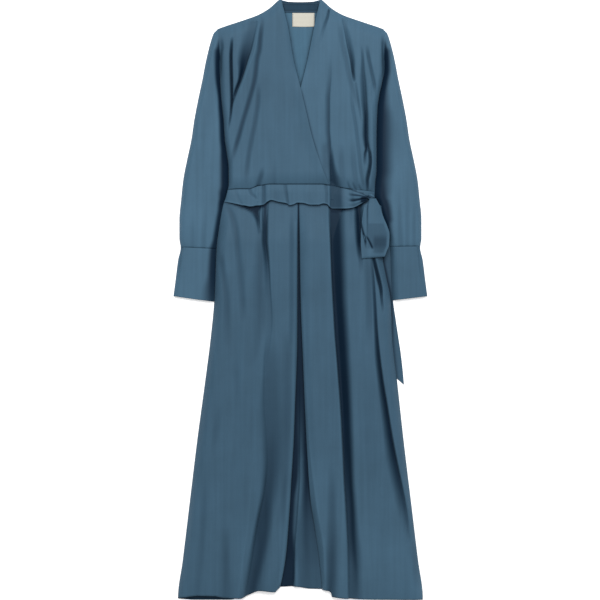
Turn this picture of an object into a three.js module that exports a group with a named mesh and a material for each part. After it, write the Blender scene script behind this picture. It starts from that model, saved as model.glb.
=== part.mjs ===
// A long-sleeve wrap dress in satin crepe, laid on its back on a flat surface with its front up.
//
// Lengths are millimetres. `down` runs from the top of the collar to the hem, `across` from the centre
// front, plus towards the wearer's left, and `height` up from the surface. In the exported group across
// is +X, down is -Y and height is +Z, with the origin under the middle of the dress.
//
// Each piece of cloth is a wall. Its upper face is a height over the surface: a loft that rounds down at
// the piece's edges, less the folds of its table. A piece that lies on another clears it by LAYER_GAP.
import * as THREE from "three";
import { mergeVertices } from "three/addons/utils/BufferGeometryUtils.js";

// ---------------------------------------------------------------- driving dimensions

const DRESS_LENGTH = 1408;
const WALL = 1.2;
const STEEPEST_WALL = 2.2; // a wall on a slope is this many times deeper than WALL at most
const SEAM_GAP = 0.3;
const LAYER_GAP = 0.4;

const BACK_TOP = WALL; // upper face of the pieces that lie on the surface
const ON_BACK = BACK_TOP + LAYER_GAP; // lowest underside of what lies on them
const ON_UNDERLAY = ON_BACK + WALL + LAYER_GAP;

const BODICE_LOFT = 13;
const SKIRT_LOFT = 18;
const SLEEVE_LOFT = 12;
const CUFF_LOFT = 8;
const LOOP_HEIGHT = 30;

const COLUMN_SPACING = 17;
const STATION = 36; // pieces that meet at the side have grid rows at these steps down it
const LEAST_ROW = 4;
const DEEP_FOLD = 8; // a fold at least this deep has grid columns of its own

const TEAL = { color: 0x456478, roughness: 0.55, metalness: 0 };
const LABEL_CREAM = { color: 0xe4e0d0, roughness: 0.8, metalness: 0 };

// ---------------------------------------------------------------- tables and curves

const lerp = (a, b, t) => a + (b - a) * t;
const clamp = (value, low = 0, high = 1) => Math.min(high, Math.max(low, value));
const smoothstep = (t) => clamp(t) ** 2 * (3 - 2 * clamp(t));

// How far cloth has risen from an edge, 0 to 1: steep at the edge, level once it is `run` away.
const rise = (distance, run) => 1 - (1 - clamp(distance / run)) ** 2;

// The smooth value at `x` of a line through the points (xs, ys), with no overshoot, level past its ends.
function smoothLine(xs, ys, x) {
  const last = xs.length - 1;
  if (x <= xs[0]) return ys[0];
  if (x >= xs[last]) return ys[last];
  const k = xs.findIndex((value, i) => i < last && x < xs[i + 1]);
  const slope = (i) => (ys[i + 1] - ys[i]) / (xs[i + 1] - xs[i]);
  const tangent = (i) => {
    if (i === 0) return slope(0);
    if (i === last) return slope(last - 1);
    const [before, after] = [slope(i - 1), slope(i)];
    return before * after <= 0 ? 0 : (2 * before * after) / (before + after);
  };
  const span = xs[k + 1] - xs[k];
  const t = (x - xs[k]) / span;
  return (
    ys[k] * (1 + 2 * t) * (1 - t) ** 2 +
    ys[k + 1] * t * t * (3 - 2 * t) +
    tangent(k) * span * t * (1 - t) ** 2 +
    tangent(k + 1) * span * t * t * (t - 1)
  );
}

// A table whose first column is the place along a line, as a function that gives every other column there.
function table(columns, rows) {
  const places = rows.map((row) => row[0]);
  const values = columns.slice(1).map((name, k) => [name, rows.map((row) => row[k + 1])]);
  const at = (place) =>
    Object.fromEntries(values.map(([name, list]) => [name, smoothLine(places, list, place)]));
  at.start = places[0];
  at.end = places.at(-1);
  return at;
}

const mirrored = (line) => (place) => -line(place);
const lineDown = (rows) => {
  const at = table(["down", "across"], rows);
  return (down) => at(down).across;
};
const lineAcross = (rows) => {
  const at = table(["across", "down"], rows);
  return (across) => at(across).down;
};

// ---------------------------------------------------------------- outlines

// Outer edge of the sleeves and cuffs, from the shoulder to the cuff hem.
const SLEEVE_OUTER = lineDown([
  [70, 194], [78, 203], [94, 209], [141, 221], [188, 230], [235, 240], [282, 249], [329, 256],
  [376, 266], [423, 275], [470, 280], [517, 284], [560, 284], [582, 281], [611, 287], [658, 293], [696, 298],
]);

// A line made straight between the stations, so that pieces on its two sides share its corners.
const faceted = (line) => (down) => {
  const station = Math.floor(down / STATION);
  return lerp(line(station * STATION), line((station + 1) * STATION), down / STATION - station);
};

// Side of the body, which is the armhole seam down to the underarm and the side of the skirt below it.
const LEFT_SIDE = faceted(mirrored(lineDown([
  [66, 193], [106, 190], [188, 189], [235, 186], [282, 181], [329, 178], [364, 173], [400, 169],
  [435, 169], [460, 174], [482, 181], [529, 190], [583, 197], [705, 202], [799, 211], [893, 223],
  [1034, 242], [1175, 259], [1316, 276], [1402, 287], [1440, 287],
])));
const RIGHT_SIDE = faceted(lineDown([
  [66, 195], [106, 197], [164, 197], [195, 192], [223, 186], [258, 181], [329, 179], [400, 179],
  [430, 176], [463, 174], [482, 178], [529, 186], [606, 193], [653, 202], [705, 212], [799, 216],
  [888, 226], [1034, 242], [1175, 259], [1316, 276], [1402, 287], [1440, 287],
]));

// Inner edge of the right sleeve below the underarm, where the sash tail parts it from the skirt.
const RIGHT_SLEEVE_BY_TAIL = lineDown([
  [470, 176], [505, 186], [529, 194], [564, 206], [588, 212], [650, 214], [706, 217],
]);

const SHOULDER = lineAcross([
  [49, 0], [59, 9], [70, 19], [83, 28], [102, 38], [127, 47], [154, 56], [181, 65], [197, 71],
]);
const shoulderAt = (across) => SHOULDER(Math.abs(across));
const BACK_NECK = lineAcross([[0, 8], [25, 6], [42, 2], [49, 0]]);
const WAIST = lineAcross([
  [-174, 447], [-141, 445], [-122, 445], [-99, 438], [-70, 434], [47, 434], [70, 437], [101, 443], [176, 452],
]);

// Free edge of each front: it runs down from the collar and on below the other front to the waist.
const OVER_EDGE = lineDown([
  [0, -45], [28, -38], [70, -28], [141, -16], [207, 0], [258, 12], [329, 29], [393, 50], [434, 66],
]);
const UNDER_EDGE = lineDown([
  [0, 47], [28, 40], [70, 31], [141, 17], [207, 1], [258, -10], [329, -27], [393, -44], [434, -55],
]);

// The two edges of the slit at the centre front.
const LEFT_SLIT = lineDown([
  [446, -6], [800, -7], [952, -12], [1034, -15], [1116, -20], [1187, -24], [1257, -29], [1309, -34],
  [1365, -44], [1392, -52],
]);
const RIGHT_SLIT = lineDown([
  [446, -3.5], [705, 0], [810, 4], [999, 12], [1116, 18.5], [1175, 23], [1234, 32], [1292, 41], [1392, 52],
]);

const HEM = lineAcross([
  [-287, 1403], [-240, 1397], [-200, 1398], [-179, 1402], [-141, 1404], [-122, 1396], [-94, 1386],
  [-60, 1389], [-49, 1380], [9, 1382], [70, 1387], [74, 1400], [129, 1405], [285, 1407],
]);
// The back hem shows below the front at the sides, and is drawn up behind it in the middle.
const BACK_HEM = lineAcross([
  [-287, 1405], [-246, 1408], [-205, 1408], [-164, 1408], [-123, 1390], [-82, 1378], [-41, 1372], [0, 1370],
  [41, 1374], [82, 1396], [123, 1403], [205, 1406], [287, 1408],
]);
const UNDERLAY_HEM = lineAcross([[-86, 1378], [-40, 1377], [-19, 1376], [-7, 1377], [24, 1382], [86, 1383]]);

// ---------------------------------------------------------------- folds

// One row for each section of a fold: where its bottom is, how deep it is there, and how far it reaches
// to each side. A depth below zero is a ridge.
const FOLD_COLUMNS = ["down", "across", "depth", "left", "right"];
const fold = (rows) => table(FOLD_COLUMNS, rows);

const OVER_FOLDS = [
  // shoulder tuck
  fold([
    [40, -99, 2, 6, 4], [94, -106, 7, 13, 4], [146, -120, 10, 17, 4], [188, -134, 10, 15, 4], [250, -157, 0, 6, 4],
  ]),
  // soft troughs that fan from the tuck
  fold([[47, -89, 0, 8, 8], [176, -106, 4, 8, 9], [247, -122, 4, 9, 9], [350, -153, 0, 8, 8]]),
  fold([[230, -98, 0, 8, 8], [294, -110, 3, 9, 9], [400, -125, 5, 9, 9], [446, -129, 2, 8, 8]]),
  // crease beside the armhole
  fold([[80, -160, 4, 6, 6], [120, -160, 11, 7, 7], [235, -160, 11, 7, 7], [310, -169, 0, 6, 6]]),
];

const UNDER_FOLDS = [
  // collar pleat
  fold([[20, 68, 6, 5, 4], [56, 61, 5, 5, 4], [94, 49, 0, 5, 4]]),
  // shoulder tuck
  fold([[55, 104, 4, 4, 9], [113, 113, 9, 4, 12], [160, 122, 9, 4, 12], [200, 127, 0, 4, 8]]),
  // trough from the bust, which opens into the deep one of the skirt
  fold([
    [130, 68, 0, 5, 5], [165, 70, 5, 6, 6], [340, 73, 8, 6, 9], [430, 70, 11, 5, 27], [452, 70, 12, 5, 28],
  ]),
  // creases beside the armhole
  fold([
    [100, 146, 3, 4, 5], [176, 148, 9, 5, 5], [258, 157, 10, 5, 6], [370, 154, 9, 6, 14], [452, 158, 5, 6, 6],
  ]),
  fold([[110, 158, 5, 4, 5], [183, 168, 7, 4, 5], [228, 177, 3, 4, 4]]),
];

const LEFT_SKIRT_FOLDS = [
  // under the sash, with the small dark hollow beside it
  fold([[446, -82, 6, 6, 8], [529, -85, 14, 7, 9], [623, -78, 10, 8, 10], [690, -75, 0, 8, 8]]),
  fold([[446, -108, 6, 20, 10], [505, -101, 11, 16, 7], [545, -96, 0, 8, 6]]),
  // the deep fold, steep towards the side
  fold([
    [770, -86, 0, 5, 16], [860, -86, 14, 5, 20], [1034, -89, 19, 6, 27], [1198, -99, 18, 6, 28],
    [1292, -114, 16, 7, 28], [1402, -135, 10, 9, 30],
  ]),
  // soft folds from the waist to the hem
  fold([[470, -174, 3, 5, 8], [541, -150, 5, 6, 12], [623, -141, 0, 6, 12]]),
  fold([[600, -186, 0, 8, 8], [670, -176, 5, 9, 9], [860, -171, 0, 9, 9]]),
  fold([[680, -99, 0, 9, 9], [764, -100, 4, 10, 10], [840, -122, 4, 10, 10], [910, -136, 0, 10, 10]]),
  fold([[840, -150, 0, 10, 10], [900, -150, 3, 10, 10], [970, -152, 0, 10, 10]]),
  fold([[950, -197, 0, 9, 9], [1020, -199, 4, 10, 10], [1130, -210, 0, 10, 10]]),
  fold([[1120, -226, 0, 10, 10], [1240, -229, 5, 11, 11], [1402, -243, 8, 12, 12]]),
  fold([[1260, -174, 0, 10, 10], [1330, -174, 5, 11, 11], [1402, -174, 7, 12, 12]]),
  fold([[560, -20, 0, 6, 5], [660, -20, 4, 6, 5], [840, -18, 0, 6, 5]]),
];

const RIGHT_SKIRT_FOLDS = [
  // the deep fold, steep towards the centre
  fold([
    [446, 70, 12, 5, 28], [500, 70, 17, 5, 29], [705, 77, 19, 5, 28], [940, 95, 19, 5, 24],
    [1152, 106, 16, 6, 24], [1292, 112, 12, 7, 26], [1402, 115, 8, 9, 30],
  ]),
  // beside the bow loop
  fold([[450, 134, 6, 6, 9], [588, 138, 7, 6, 8], [650, 141, 0, 6, 7]]),
  // the side crease, steep towards the side
  fold([
    [600, 164, 0, 8, 4], [705, 174, 9, 10, 4], [846, 186, 14, 12, 4], [999, 209, 17, 14, 5],
    [1104, 230, 15, 18, 6], [1198, 249, 8, 20, 7], [1290, 260, 0, 20, 7],
  ]),
  fold([[590, 172, 9, 4, 9], [634, 179, 10, 5, 8], [712, 191, 0, 5, 6]]),
  // soft folds
  fold([[680, 154, 0, 9, 9], [750, 155, 3, 9, 9], [820, 157, 0, 9, 9]]),
  fold([[1080, 75, 0, 12, 12], [1180, 75, 5, 13, 13], [1402, 75, 8, 14, 14]]),
  fold([[1250, 264, 0, 10, 10], [1310, 267, 4, 10, 10], [1380, 274, 0, 10, 10]]),
];

const LEFT_SLEEVE_FOLDS = [
  fold([[120, -203, 2, 6, 6], [300, -222, 3, 9, 9], [420, -240, 0, 9, 9]]),
  fold([[470, -222, 0, 8, 8], [545, -226, 3, 9, 9], [578, -228, 4, 7, 7]]),
  fold([[500, -252, 0, 8, 8], [555, -253, 3, 8, 8], [578, -254, 4, 6, 6]]),
];
const RIGHT_SLEEVE_FOLDS = [
  fold([[100, 208, 3, 6, 6], [260, 214, 4, 9, 9], [400, 232, 0, 9, 9]]),
  fold([[450, 231, 0, 8, 8], [530, 233, 4, 8, 8], [578, 234, 5, 6, 6]]),
  fold([[440, 250, 0, 8, 8], [520, 250, 4, 8, 8], [578, 250, 5, 6, 6]]),
  fold([[460, 268, 0, 7, 7], [540, 267, 3, 7, 7], [578, 266, 4, 6, 6]]),
];

// How deep a fold cuts at a point: a crease at its bottom that rounds out to each side.
function foldDepth(foldAt, across, down) {
  if (down < foldAt.start || down > foldAt.end) return 0;
  const section = foldAt(down);
  const away = across - section.across;
  const reach = away < 0 ? section.left : section.right;
  return section.depth * (1 - clamp(Math.abs(away) / reach)) ** 2;
}
const foldsDepth = (folds, across, down) =>
  folds.reduce((sum, foldAt) => sum + foldDepth(foldAt, across, down), 0);

// ---------------------------------------------------------------- making a wall of cloth

// A closed wall over a grid. faces(i, j) gives the two faces' points at column i and row j.
function wall(name, columnCount, rowCount, faces, look = TEAL) {
  const positions = [];
  const index = [];
  const stride = columnCount + 1;
  const layer = stride * (rowCount + 1);
  for (let side = 0; side < 2; side += 1)
    for (let j = 0; j <= rowCount; j += 1)
      for (let i = 0; i <= columnCount; i += 1) positions.push(...faces(i, j)[side]);
  const quad = (a, b, c, d) => index.push(a, b, c, a, c, d);
  const at = (i, j) => j * stride + i;
  for (let j = 0; j < rowCount; j += 1)
    for (let i = 0; i < columnCount; i += 1) {
      const corners = [at(i, j), at(i + 1, j), at(i + 1, j + 1), at(i, j + 1)];
      quad(...corners);
      quad(...corners.map((k) => k + layer).reverse());
    }
  const rim = [];
  for (let i = 0; i < columnCount; i += 1) rim.push(at(i, 0));
  for (let j = 0; j < rowCount; j += 1) rim.push(at(columnCount, j));
  for (let i = columnCount; i > 0; i -= 1) rim.push(at(i, rowCount));
  for (let j = rowCount; j > 0; j -= 1) rim.push(at(0, j));
  rim.forEach((here, k) => {
    const next = rim[(k + 1) % rim.length];
    quad(here, here + layer, next + layer, next);
  });
  const geometry = new THREE.BufferGeometry()
    .setAttribute("position", new THREE.Float32BufferAttribute(positions, 3))
    .setIndex(index);
  return pieceOf(name, geometry, look);
}

// A named mesh with its faces turned outwards.
function pieceOf(name, geometry, look = TEAL) {
  if (signedVolume(geometry) < 0) geometry.index.array.reverse();
  geometry.computeVertexNormals();
  const mesh = new THREE.Mesh(geometry, new THREE.MeshStandardMaterial(look));
  mesh.name = name;
  return mesh;
}

function signedVolume(geometry) {
  const points = geometry.attributes.position;
  const corner = [new THREE.Vector3(), new THREE.Vector3(), new THREE.Vector3()];
  let volume = 0;
  for (let k = 0; k < geometry.index.count; k += 3) {
    corner.forEach((point, n) => point.fromBufferAttribute(points, geometry.index.getX(k + n)));
    volume += corner[0].dot(corner[1].clone().cross(corner[2])) / 6;
  }
  return volume;
}

const place = (across, down, height) => [across, -down, height];

// Places down an edge for the rows of a grid: its two ends, and the stations between them.
function rowsDown(from, to, perStation = 1) {
  const step = STATION / perStation;
  const rows = [from];
  for (let k = Math.ceil((from + LEAST_ROW) / step); k * step < to - LEAST_ROW; k += 1) rows.push(k * step);
  return [...rows, to];
}

// A four-sided piece: its left and right edges are lines down, its top and bottom edges lines across.
// `at` takes a fraction across and a row to a place on the piece. The rows meet the stations on the
// edge that `side` names, or on both edges.
function outline({ left, right, top, bottom, corners, side = "both", perStation }) {
  const [topLeft, topRight, bottomLeft, bottomRight] = corners;
  const ends = side === "right" ? [topRight, bottomRight] : [topLeft, bottomLeft];
  const rows = rowsDown(...ends, perStation);
  const rowCount = rows.length - 1;
  const at = (s, row) => {
    const t = (rows[row] - ends[0]) / (ends[1] - ends[0]);
    const inner = row > 0 && row < rowCount;
    const leftDown = inner && side !== "right" ? rows[row] : lerp(topLeft, bottomLeft, t);
    const rightDown = inner && side !== "left" ? rows[row] : lerp(topRight, bottomRight, t);
    const topAcross = lerp(left(topLeft), right(topRight), s);
    const bottomAcross = lerp(left(bottomLeft), right(bottomRight), s);
    const across = lerp(left(leftDown), right(rightDown), s);
    const down =
      lerp(leftDown, rightDown, s) +
      (1 - t) * (top(topAcross) - lerp(topLeft, topRight, s)) +
      t * (bottom(bottomAcross) - lerp(bottomLeft, bottomRight, s));
    return { across, down };
  };
  return { at, rowCount };
}

// The columns of a panel's grid: a deep fold has one at its bottom and one at each foot, and the
// stretches between them are parted evenly. Gives the fractions across, for a row.
function columnsOf({ at, rowCount }, folds, spacing) {
  const deep = folds.filter((foldAt) => {
    const middle = foldAt(lerp(foldAt.start, foldAt.end, 0.5)).depth;
    return Math.max(middle, foldAt(foldAt.end).depth) >= DEEP_FOLD;
  });
  const knotsAt = (row) => {
    const from = at(0, row).across;
    const to = at(1, row).across;
    const fraction = (across) => clamp((across - from) / (to - from));
    return deep.flatMap((foldAt) => {
      const held = foldAt(clamp(at(0.5, row).down, foldAt.start, foldAt.end));
      return [held.across - held.left, held.across, held.across + held.right].map(fraction);
    });
  };
  const order = knotsAt(Math.round(rowCount * 0.6))
    .map((value, k) => [value, k])
    .sort((a, b) => a[0] - b[0])
    .map(([, k]) => k);
  const ordered = (row) => {
    const knots = knotsAt(row);
    const line = [0, ...order.map((k) => knots[k]), 1];
    const least = 0.25 / line.length;
    for (let k = 1; k < line.length; k += 1) line[k] = Math.max(line[k], line[k - 1] + least);
    line[line.length - 1] = 1;
    for (let k = line.length - 2; k > 0; k -= 1) line[k] = Math.min(line[k], line[k + 1] - least);
    return line;
  };
  const parts = ordered(rowCount).map((_, k) => {
    if (k === 0) return 0;
    let widest = 0;
    for (let row = 0; row <= rowCount; row += 1) {
      const line = ordered(row);
      widest = Math.max(widest, (line[k] - line[k - 1]) * (at(1, row).across - at(0, row).across));
    }
    return Math.max(1, Math.round(widest / spacing));
  });
  return (row) => {
    const line = ordered(row);
    const between = (k) =>
      Array.from({ length: parts[k] }, (_, n) => lerp(line[k - 1], line[k], (n + 1) / parts[k]));
    return line.flatMap((_, k) => (k === 0 ? [0] : between(k)));
  };
}

// A panel: a wall over an outline, whose upper face is height(across, down) and never nearer than a wall
// to its floor.
function panel(name, { shape, folds = [], height, floor, spacing = COLUMN_SPACING, columnCount }) {
  const even = () => Array.from({ length: columnCount + 1 }, (_, i) => i / columnCount);
  const columns = columnCount ? even : columnsOf(shape, folds, spacing);
  const lists = Array.from({ length: shape.rowCount + 1 }, (_, row) => columns(row));
  const top = (across, down) => Math.max(height(across, down), floor + WALL);
  return wall(name, lists[0].length - 1, shape.rowCount, (i, j) => {
    const { across, down } = shape.at(lists[j][i], j);
    const upper = top(across, down);
    const lower = Math.max(upper - wallDepth(top, across, down), floor);
    return [place(across, down, upper), place(across, down, lower)];
  });
}

// How deep a wall is, measured straight down, where its upper face slopes.
function wallDepth(top, across, down) {
  const step = 1;
  const slopeAcross = (top(across + step, down) - top(across - step, down)) / (2 * step);
  const slopeDown = (top(across, down + step) - top(across, down - step)) / (2 * step);
  return WALL * Math.min(Math.hypot(1, slopeAcross, slopeDown), STEEPEST_WALL);
}

// ---------------------------------------------------------------- the back pieces

const leftSleeveEdge = (down) => LEFT_SIDE(down) - SEAM_GAP;
const rightSleeveEdge = (down) =>
  (down < 470 ? RIGHT_SIDE(down) : Math.max(RIGHT_SLEEVE_BY_TAIL(down), RIGHT_SIDE(down))) + SEAM_GAP;

// The back skirt gives way to the sash tail, which is tucked under the side of the front.
const TAIL_TUCK = 10;
const tuckAt = (down) => TAIL_TUCK * smoothstep((down - 558) / 22) * smoothstep((935 - down) / 22);

const BACK_COLUMNS = 14;

function backBodice() {
  const waistLeft = WAIST(-171);
  const waistRight = WAIST(174);
  return panel("back_bodice", {
    shape: outline({
      left: LEFT_SIDE,
      right: RIGHT_SIDE,
      top: (across) => (Math.abs(across) < 49 ? BACK_NECK(Math.abs(across)) : shoulderAt(across)),
      bottom: WAIST,
      corners: [shoulderAt(193), shoulderAt(195), waistLeft, waistRight],
    }),
    height: () => BACK_TOP,
    floor: 0,
    columnCount: BACK_COLUMNS,
  });
}

function skirtBack() {
  const waistLeft = WAIST(-171) + SEAM_GAP;
  const waistRight = WAIST(174) + SEAM_GAP;
  return panel("skirt_back", {
    shape: outline({
      left: LEFT_SIDE,
      right: (down) => RIGHT_SIDE(down) - tuckAt(down),
      top: (across) => WAIST(across) + SEAM_GAP,
      bottom: BACK_HEM,
      corners: [waistLeft, waistRight, BACK_HEM(-287), BACK_HEM(287)],
    }),
    height: () => BACK_TOP,
    floor: 0,
    columnCount: BACK_COLUMNS,
  });
}

const NECK_BAND = { top: 5, bottom: 31, lowest: ON_BACK, stand: 9 };

function neckBand() {
  const { top, bottom, lowest, stand } = NECK_BAND;
  return panel("back_neck_band", {
    shape: outline({
      left: (down) => OVER_EDGE(down) + 1.5,
      right: (down) => UNDER_EDGE(down) - 1.5,
      top: (across) => top + 3 * (1 - (across / 45) ** 2),
      bottom: () => bottom,
      corners: [top, top, bottom, bottom],
      perStation: 6,
    }),
    height: (across, down) => lowest + WALL + stand * smoothstep((bottom - down) / (bottom - top)),
    floor: lowest,
    spacing: 10,
  });
}

const LABEL = { left: -19, width: 52, top: 32, height: 32, thickness: 1 };

function label() {
  const { left, width, top, height, thickness } = LABEL;
  const columnCount = 4;
  const sag = (i) => 0.6 * Math.sin((Math.PI * i) / columnCount);
  return wall("label", columnCount, 2, (i, j) => {
    const across = left + (width * i) / columnCount;
    const down = top + (height * j) / 2 + sag(i) * (j / 2);
    return [place(across, down, BACK_TOP + SEAM_GAP + thickness), place(across, down, BACK_TOP + SEAM_GAP)];
  }, LABEL_CREAM);
}

// ---------------------------------------------------------------- the fronts

const SIDE_RUN = 9;
const SHOULDER_RUN = 14;
const WAIST_RUN = 30;
const LEAST_AT_WAIST = 0.4;
const COLLAR_DROP = 3; // how far the cloth dips along a front's free edge
const LAP_STEP = WALL + LAYER_GAP; // the over front lies this far above the under front

// Height of the upper face of the fronts, as if they were one cloth without folds.
function bodiceForm(across, down) {
  const fromSide = Math.min(across - LEFT_SIDE(down), RIGHT_SIDE(down) - across);
  const fromShoulder = down - shoulderAt(across);
  const fromWaist = WAIST(across) - down;
  return (
    ON_BACK + WALL +
    BODICE_LOFT *
      rise(fromSide, SIDE_RUN) *
      lerp(0.12, 1, rise(fromShoulder, SHOULDER_RUN)) *
      lerp(LEAST_AT_WAIST, 1, rise(fromWaist, WAIST_RUN))
  );
}

function overHeight(across, down) {
  const fromEdge = OVER_EDGE(down) - across;
  const overLap = smoothstep((down - 190) / 40) * (1 - smoothstep(fromEdge / 26));
  const free = 1 - smoothstep((down - 150) / 60);
  const dip = COLLAR_DROP * free * (1 - rise(fromEdge, 14));
  return bodiceForm(across, down) + LAP_STEP * 1.4 * overLap - dip - foldsDepth(OVER_FOLDS, across, down);
}

// The under front sinks away below the over front.
function underHeight(across, down) {
  const fromEdge = across - UNDER_EDGE(down);
  const covered = OVER_EDGE(down) - across;
  const free = 1 - smoothstep((down - 150) / 60);
  const dip = COLLAR_DROP * free * (1 - rise(fromEdge, 14));
  const sink = 9 * smoothstep(covered / 18);
  return bodiceForm(across, down) - dip - sink - foldsDepth(UNDER_FOLDS, across, down);
}

function frontBodiceOver() {
  return panel("front_bodice_over", {
    shape: outline({
      left: LEFT_SIDE,
      right: OVER_EDGE,
      top: shoulderAt,
      bottom: (across) => WAIST(across) - SEAM_GAP,
      corners: [shoulderAt(193), 0, WAIST(-171) - SEAM_GAP, WAIST(66) - SEAM_GAP],
      side: "left",
      perStation: 2,
    }),
    folds: OVER_FOLDS,
    height: overHeight,
    floor: ON_BACK,
  });
}

function frontBodiceUnder() {
  return panel("front_bodice_under", {
    shape: outline({
      left: UNDER_EDGE,
      right: RIGHT_SIDE,
      top: shoulderAt,
      bottom: (across) => WAIST(across) - SEAM_GAP,
      corners: [0, shoulderAt(195), WAIST(-55) - SEAM_GAP, WAIST(174) - SEAM_GAP],
      side: "right",
      perStation: 2,
    }),
    folds: UNDER_FOLDS,
    height: underHeight,
    floor: ON_BACK,
  });
}

// ---------------------------------------------------------------- sleeves and cuffs

// The cross-section of a flat tube, from the inner edge of its upper layer, round the folded outer edge
// and back along its lower layer. `side` is -1 for the left sleeve and 1 for the right one.
function flatTube(name, { side, inner, outer, top, bottom, height, innerEnds, columns = 9 }) {
  const edge = 2;
  const lowerColumns = 3;
  const rows = rowsDown(...innerEnds);
  return wall(name, columns + 2 + lowerColumns, rows.length - 1, (i, j) => {
    const t = (rows[j] - innerEnds[0]) / (innerEnds[1] - innerEnds[0]);
    const from = inner(rows[j]);
    const outerDown = lerp(top(outer(innerEnds[0])), bottom(outer(innerEnds[1])), t);
    const to = outer(outerDown);
    const downAt = (across) => {
      const away = (across - from) / (to - from);
      const straight = lerp(rows[j], outerDown, away);
      const topMiss = top(across) - lerp(innerEnds[0], top(outer(innerEnds[0])), away);
      const bottomMiss = bottom(across) - lerp(innerEnds[1], bottom(outer(innerEnds[1])), away);
      return straight + (1 - t) ** 3 * topMiss + t ** 3 * bottomMiss;
    };
    if (i <= columns) {
      const across = lerp(from, to - side * edge, i / columns);
      const down = downAt(across);
      const upper = height(across, down);
      return [place(across, down, upper), place(across, down, upper - wallDepth(height, across, down))];
    }
    if (i === columns + 1) return [place(to, outerDown, 3), place(to - side * WALL, outerDown, 2.6)];
    if (i === columns + 2) {
      return [place(to - side, outerDown, 0), place(to - side * 2.4, outerDown, WALL)];
    }
    const across = lerp(to - side * 8, from, (i - columns - 3) / (lowerColumns - 1));
    const lowerDown = downAt(across);
    return [place(across, lowerDown, 0), place(across, lowerDown, WALL)];
  });
}

function tubeHeight(loft, inner, outer, innerRun, outerRun, folds, ends) {
  return (across, down) => {
    const fromInner = Math.abs(across) - Math.abs(inner(down));
    const fromOuter = Math.abs(outer(down)) - Math.abs(across);
    const form = loft * rise(fromInner, innerRun) * rise(fromOuter, outerRun) * ends(across, down);
    return Math.max(ON_BACK + WALL + form - foldsDepth(folds, across, down), ON_BACK + WALL);
  };
}

const CUFF_SEAM = {
  left: lineAcross([[-284, 581], [-197, 585]]),
  right: lineAcross([[212, 580], [284, 579]]),
};
const CUFF_HEM = {
  left: lineAcross([[-298, 696], [-235, 705], [-202, 709]]),
  right: lineAcross([[216, 706], [258, 701], [298, 696]]),
};
const LEFT_OUTER = mirrored(SLEEVE_OUTER);

function sleeve(name, side) {
  const left = side < 0;
  const inner = left ? leftSleeveEdge : rightSleeveEdge;
  const outer = left ? LEFT_OUTER : SLEEVE_OUTER;
  const seam = left ? CUFF_SEAM.left : CUFF_SEAM.right;
  const ends = (across, down) => {
    const belowShoulder = lerp(0.15, 1, rise(down - shoulderAt(across), SHOULDER_RUN));
    return belowShoulder * lerp(0.6, 1, rise(seam(across) - down, 40));
  };
  return flatTube(name, {
    side,
    inner,
    outer,
    top: shoulderAt,
    bottom: (across) => seam(across) - SEAM_GAP,
    height: tubeHeight(
      SLEEVE_LOFT, inner, outer, left ? 26 : 38, 12, left ? LEFT_SLEEVE_FOLDS : RIGHT_SLEEVE_FOLDS, ends,
    ),
    innerEnds: [shoulderAt(193), seam(left ? -197 : 212) - SEAM_GAP],
  });
}

function cuff(name, side) {
  const left = side < 0;
  const inner = left ? leftSleeveEdge : rightSleeveEdge;
  const outer = left ? LEFT_OUTER : SLEEVE_OUTER;
  return flatTube(name, {
    side,
    inner,
    outer,
    top: left ? CUFF_SEAM.left : CUFF_SEAM.right,
    bottom: left ? CUFF_HEM.left : CUFF_HEM.right,
    height: tubeHeight(CUFF_LOFT, inner, outer, left ? 14 : 12, 8, [], () => 1),
    innerEnds: left ? [585, 709] : [580, 706],
    columns: 7,
  });
}

// ---------------------------------------------------------------- skirt

const HEM_RUN = 60;
const UNDERLAY_REACH = 34; // how far the underlay runs on under the fronts
const UNDERLAY_RIDGE = 7;

function skirtHeight(folds, slitEdge) {
  return (across, down) => {
    const fromSide = Math.min(across - LEFT_SIDE(down), RIGHT_SIDE(down) - across);
    const fromSlit = Math.abs(across - slitEdge(down));
    const fromHem = HEM(across) - down;
    const form =
      SKIRT_LOFT *
      rise(fromSide, SIDE_RUN) *
      lerp(0.1, 1, smoothstep((down - 472) / 100)) *
      lerp(0.7, 1, rise(fromHem, HEM_RUN)) *
      lerp(0.25, 1, rise(fromSlit, 8));
    const lift = ON_BACK + WALL + (ON_UNDERLAY - ON_BACK) * smoothstep((UNDERLAY_REACH + 12 - fromSlit) / 8);
    return Math.max(lift, ON_BACK + WALL + form - foldsDepth(folds, across, down));
  };
}

const leftSkirtHeight = skirtHeight(LEFT_SKIRT_FOLDS, LEFT_SLIT);
const rightSkirtHeight = skirtHeight(RIGHT_SKIRT_FOLDS, RIGHT_SLIT);

function skirtFront(name, { left, right, folds, height, side, corners }) {
  return panel(name, {
    shape: outline({
      left,
      right,
      top: (across) => WAIST(across) + SEAM_GAP,
      bottom: HEM,
      corners,
      side,
    }),
    folds,
    height,
    floor: ON_BACK,
  });
}

// The underlay hangs behind the slit, with a soft ridge where the slit opens.
function pleatUnderlay() {
  const height = (across, down) => {
    const middle = (LEFT_SLIT(down) + RIGHT_SLIT(down)) / 2;
    const half = (RIGHT_SLIT(down) - LEFT_SLIT(down)) / 2;
    const open = smoothstep((half - 6) / 12);
    const away = Math.abs(across - middle + half * 0.2);
    return ON_BACK + WALL + UNDERLAY_RIDGE * open * (1 - smoothstep(away / (half * 0.6)));
  };
  return panel("pleat_underlay", {
    shape: outline({
      left: (down) => LEFT_SLIT(down) - UNDERLAY_REACH,
      right: (down) => RIGHT_SLIT(down) + UNDERLAY_REACH,
      top: () => WAIST(0) + SEAM_GAP,
      bottom: UNDERLAY_HEM,
      corners: [WAIST(0) + SEAM_GAP, WAIST(0) + SEAM_GAP, UNDERLAY_HEM(-86), UNDERLAY_HEM(86)],
    }),
    height,
    floor: ON_BACK,
    spacing: 24,
  });
}

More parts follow.
